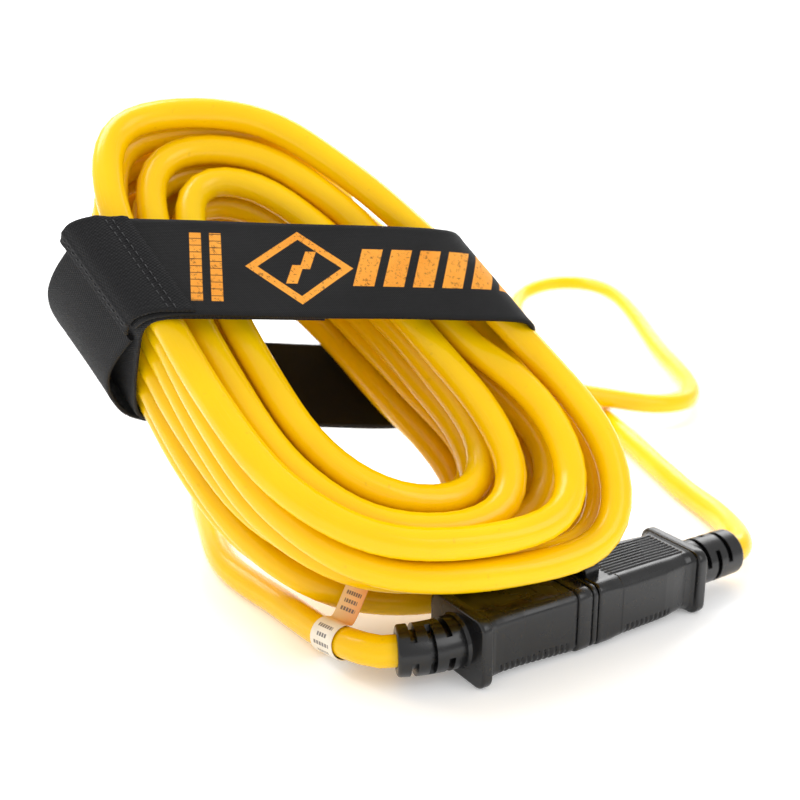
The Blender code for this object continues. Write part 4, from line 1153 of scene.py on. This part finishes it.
def black_overmold():
    f = Finish("black_overmold_pvc")
    tone = f.noise(45.0, 3.0)
    base = f.blend(f.ramp(tone, 0.3, 0.7), (0.0022, 0.0022, 0.0024), (0.0045, 0.0045, 0.005))
    wear = f.add("ShaderNodeNewGeometry").outputs["Pointiness"]
    edge = f.ramp(wear, 0.53, 0.62, 0.0, 0.35)
    base = f.blend(edge, base, (0.03, 0.03, 0.032))
    dust = f.ramp(f.noise(520.0, 4.0), 0.68, 0.76, 0.0, 0.05)
    base = f.blend(dust, base, (0.22, 0.21, 0.20))
    gloss = f.ramp(f.noise(90.0, 4.0), 0.3, 0.7, 0.19, 0.33)
    mould = f.bump(f.cells(2600.0), 0.025 * MM, 0.35)
    soft = f.bump(f.noise(300.0, 2.0), 0.08 * MM, 0.4, mould)
    f.put(Base_Color=base, Roughness=gloss, Normal=soft, IOR=1.5)
    return f.material


def plain_weave(f, pitch):
    """Height of threads that cross along and across the strap."""
    u, v = f.uv_parts()
    warp = f.wave(v, pitch)
    weft = f.wave(u, pitch * 1.35)
    return f.times(warp, weft)


def webbing():
    f = Finish("webbing_woven_nylon")
    weave = plain_weave(f, 0.95 * MM)
    fuzz = f.noise(1500.0, 4.0)
    tone = f.math("ADD", f.times(weave, 0.25), f.ramp(fuzz, 0.3, 0.7))
    base = f.blend(f.math("MULTIPLY", tone, 0.8, True), (0.004, 0.004, 0.0045), (0.016, 0.016, 0.017))
    lint = f.ramp(f.noise(700.0, 3.0), 0.72, 0.78, 0.0, 0.1)
    base = f.blend(lint, base, (0.16, 0.16, 0.165))
    height = f.math("ADD", weave, f.times(fuzz, 1.3))
    f.put(Base_Color=base, Roughness=f.ramp(fuzz, 0.3, 0.7, 0.66, 0.88),
          Normal=f.bump(height, 0.12 * MM, 0.8), IOR=1.30)
    return f.material


def print_mask(f, u, v):
    """Generic print: two lines of broken dashes, a diamond with a bolt, leaning blocks."""
    marks = []
    for k, u0 in enumerate((9.0 * MM, 14.6 * MM)):
        bar = f.box(u, v, u0, u0 + 3.4 * MM, -11.5 * MM, 11.5 * MM)
        gaps = f.ramp(f.wave(v, 2.3 * MM, 0.8 + 2.1 * k), 0.90, 0.97, 1.0, 0.15)
        marks.append(f.times(bar, gaps))
    cu, cv, outer, inner = 40 * MM, 0.5 * MM, 12.5 * MM, 9.6 * MM
    du = f.math("ABSOLUTE", f.math("SUBTRACT", u, cu))
    dv = f.math("ABSOLUTE", f.math("SUBTRACT", v, cv))
    far = f.math("ADD", f.times(du, 0.8), dv)
    diamond = f.times(f.ramp(far, inner, inner + 0.15 * MM),
                     f.ramp(far, outer - 0.15 * MM, outer, 1.0, 0.0))
    marks.append(diamond)
    marks.append(f.box(u, v, cu - 0.2 * MM, cu + 3.0 * MM, cv - 0.6 * MM, cv + 5.6 * MM, 0.35))
    marks.append(f.box(u, v, cu - 2.6 * MM, cu + 0.8 * MM, cv - 5.6 * MM, cv + 0.8 * MM, 0.35))
    for k in range(6):
        u0 = (56.5 + 8.8 * k) * MM
        marks.append(f.box(u, v, u0, u0 + 6.3 * MM, -5.6 * MM, 7.4 * MM, 0.30))
    return f.union(marks)


def printed_panel():
    f = Finish("printed_satin_panel")
    u, v = f.uv_parts()
    twill = f.wave(f.math("ADD", u, f.times(v, 0.8)), 0.62 * MM)
    cross = f.wave(v, 0.48 * MM)
    weave = f.math("ADD", twill, f.times(cross, 0.6))
    fuzz = f.noise(1300.0, 4.0)
    cloud = f.noise(55.0, 4.0)
    cloth = f.blend(f.ramp(cloud, 0.3, 0.7), (0.004, 0.004, 0.0042), (0.008, 0.008, 0.0085))
    cloth = f.blend(f.ramp(f.times(weave, fuzz), 0.0, 1.0, 0.0, 0.35), cloth,
                    (0.014, 0.014, 0.015))
    outside = f.add("ShaderNodeAttribute", attribute_name="outside").outputs["Fac"]
    mask = f.times(print_mask(f, u, v), f.ramp(outside, 0.4, 0.6))
    breaks = f.ramp(f.math("ADD", f.noise(900.0, 4.0, rough=0.7), f.times(weave, 0.03)),
                    0.36, 0.44, 0.35, 1.0)
    ink = f.blend(f.ramp(cloud, 0.3, 0.7), (0.82, 0.30, 0.025), (0.93, 0.38, 0.045))
    base = f.blend(f.times(mask, breaks), cloth, ink)
    rough = f.ramp(mask, 0.0, 1.0, 0.62, 0.5)
    height = f.math("ADD", f.math("ADD", weave, f.times(fuzz, 0.8)),
                    f.times(mask, 0.9))
    f.put(Base_Color=base, Roughness=rough, Normal=f.bump(height, 0.06 * MM, 0.7), IOR=1.30)
    return f.material


def hook_tape():
    f = Finish("hook_tape_nylon")
    hooks = f.cells(1100.0)
    base = f.blend(f.ramp(hooks, 0.1, 0.6), (0.035, 0.035, 0.037), (0.006, 0.006, 0.006))
    f.put(Base_Color=base, Roughness=f.ramp(hooks, 0.0, 0.6, 0.35, 0.8),
          Normal=f.bump(hooks, 0.35 * MM, 0.9))
    return f.material


def thread():
    f = Finish("thread_black")
    twist = f.noise(2500.0, 2.0)
    f.put(Base_Color=f.blend(twist, (0.012, 0.012, 0.013), (0.05, 0.05, 0.052)), Roughness=0.55,
          Normal=f.bump(twist, 0.05 * MM, 0.6))
    return f.material


def label():
    """Printed vinyl: cream, an orange field on the flag, and lines of dark dashes."""
    f = Finish("label_printed_vinyl")
    u, v = f.uv_parts()
    cloud = f.noise(160.0, 3.0)
    paper = f.blend(f.ramp(cloud, 0.3, 0.7), (0.80, 0.73, 0.60), (0.90, 0.84, 0.72))
    field = f.ramp(u, 13.5 * MM, 15.5 * MM, 1.0, 0.0)
    orange = f.blend(f.ramp(v, -5 * MM, 5 * MM), (0.86, 0.34, 0.05), (0.90, 0.62, 0.28))
    base = f.blend(f.times(field, 0.9), paper, orange)
    lines = []
    for k, (u0, half) in enumerate(((3.0, 3.9), (5.4, 3.3), (7.8, 3.8), (17.0, 3.6), (19.6, 2.4),
                                    (22.2, 4.0), (24.8, 3.2))):
        bar = f.box(u, v, u0 * MM, (u0 + 1.25) * MM, -half * MM, half * MM)
        gaps = f.ramp(f.wave(v, (1.15 + 0.13 * (k % 3)) * MM, k * 1.9), 0.55, 0.75, 1.0, 0.0)
        lines.append(f.times(bar, gaps))
    base = f.blend(f.times(f.union(lines), 0.85), base, (0.045, 0.035, 0.05))
    f.put(Base_Color=base, Roughness=f.ramp(cloud, 0.3, 0.7, 0.3, 0.45),
          Normal=f.bump(f.noise(700.0, 2.0), 0.03 * MM, 0.4))
    f.shader.inputs["Coat Weight"].default_value = 0.25
    return f.material


def plated_brass():
    f = Finish("plated_brass_drawn")
    brush = f.noise(900.0, 4.0, stretch=(0.12, 1.0, 1.0))
    tone = f.noise(60.0, 3.0)
    base = f.blend(f.ramp(tone, 0.3, 0.7), (0.70, 0.58, 0.36), (0.82, 0.72, 0.50))
    f.put(Base_Color=base, Metallic=1.0, Roughness=f.ramp(brush, 0.3, 0.7, 0.2, 0.36),
          Normal=f.bump(brush, 0.02 * MM, 0.5))
    return f.material


def moulded(name, dark, light, low, high):
    """A plain moulded or extruded plastic with slight tone and gloss changes."""
    f = Finish(name)
    tone = f.noise(80.0, 3.0)
    f.put(Base_Color=f.blend(f.ramp(tone, 0.3, 0.7), dark, light),
          Roughness=f.ramp(f.noise(140.0, 3.0), 0.3, 0.7, low, high),
          Normal=f.bump(f.noise(1200.0, 3.0), 0.03 * MM, 0.4))
    return f.material


def all_materials():
    mats = {make.__name__: make() for make in
            (yellow_jacket, black_overmold, webbing, printed_panel, hook_tape, thread, label,
             plated_brass)}
    mats["insert_plastic"] = moulded("insert_nylon", (0.016, 0.016, 0.018), (0.03, 0.03, 0.032),
                                     0.42, 0.6)
    for pole, dark, light in (("line", (0.012, 0.012, 0.012), (0.02, 0.02, 0.02)),
                              ("neutral", (0.74, 0.74, 0.71), (0.84, 0.84, 0.82)),
                              ("ground", (0.02, 0.25, 0.06), (0.03, 0.34, 0.09))):
        slot = pole + "_insulation"
        mats[slot] = moulded(slot + "_pvc", dark, light, 0.3, 0.45)
    return mats


def dress_cad_nodes(mats):
    """Gives every CAD node that stays the material of its own slot."""
    slots = {s["node"]: s["material_slot"] for s in frame["record"]["subparts"]}
    for node, obj in frame["nodes"].items():
        obj.data.materials.clear()
        obj.data.materials.append(mats[slots[node]])


# ---- stage ---------------------------------------------------------------------------
def studio_floor():
    """Pale sweep: flat floor that curves up into a backdrop far behind the cord."""
    near, far, bend, top, half = -3.0, 12.0, 2.0, 8.0, 12.0
    profile = [(near, 0.0)] + [(far + bend * sin(a), bend - bend * cos(a))
                               for a in np.linspace(0, pi / 2, 24)] + [(far + bend, top)]
    verts = [(x, y, z) for y, z in profile for x in (-half, half)]
    faces = grid_faces(len(profile), 2, closed=False)
    floor = new_object("studio_floor", verts, faces)
    f = Finish("studio_paper")
    grain = f.noise(35.0, 3.0)
    f.put(Base_Color=f.blend(grain, (0.91, 0.91, 0.91), (0.93, 0.93, 0.93)),
          Roughness=f.ramp(grain, 0.3, 0.7, 0.55, 0.7), Emission_Strength=FLOOR_GLOW)
    f.shader.inputs["Emission Color"].default_value = (1.0, 1.0, 1.0, 1.0)
    floor.data.materials.append(f.material)


def soft_light(name, spot, aim, size, power):
    light = bpy.data.lights.new(name, "AREA")
    light.shape = "RECTANGLE"
    light.size, light.size_y = size
    light.energy = power
    obj = bpy.data.objects.new(name, light)
    obj.location = spot
    obj.rotation_euler = (Vector(aim) - Vector(spot)).to_track_quat("-Z", "Y").to_euler()
    bpy.context.scene.collection.objects.link(obj)


def studio(centre):
    world = bpy.data.worlds.new("studio_world")
    world.use_nodes = True
    back = world.node_tree.nodes["Background"]
    back.inputs["Color"].default_value = (1.0, 1.0, 1.0, 1.0)
    back.inputs["Strength"].default_value = WORLD_LIGHT
    bpy.context.scene.world = world
    soft_light("key_softbox", (-0.75, 0.55, 1.15), centre, (0.9, 0.9), 16.0)
    soft_light("fill_softbox", (0.9, -0.7, 0.9), centre, (0.8, 0.8), 5.0)
    soft_light("back_softbox", (0.35, 1.25, 0.75), centre, (1.2, 0.6), 9.0)
    studio_floor()


def camera(sharp_at):
    """The view of the reference picture, sharpest at a point on the plug."""
    sharpest = bpy.data.objects.new("focus_point", None)
    sharpest.location = sharp_at
    bpy.context.scene.collection.objects.link(sharpest)
    data = bpy.data.cameras.new("photo_camera")
    data.lens = LENS_MM
    data.sensor_width = 36.0
    data.clip_start = 0.01
    data.dof.use_dof = True
    data.dof.focus_object = sharpest
    data.dof.aperture_fstop = F_STOP
    obj = bpy.data.objects.new("photo_camera", data)
    obj.location = CAMERA_SPOT
    obj.rotation_euler = (CAMERA_TILT, 0.0, 0.0)
    bpy.context.scene.collection.objects.link(obj)
    bpy.context.scene.camera = obj
    bpy.context.scene.view_settings.view_transform = "Standard"
    bpy.context.scene.view_settings.look = "None"


# ---- assembly ------------------------------------------------------------------------
def main():
    mats = all_materials()
    dress_cad_nodes(mats)
    pair = pair_frame()
    strap = strap_frame()
    band = strap_sections(strap, "strap_base_band")[::-1]
    path = cable(pair, strap, band, mats)
    plug_skin(pair, mats)
    connector_skin(pair, mats)
    strap_pieces(strap, mats)
    flag_label(path, mats)
    low, high = cad_box
    studio((low + high) / 2)
    camera(pair.world((PLUG_ROOT, 0, 0)))


main()
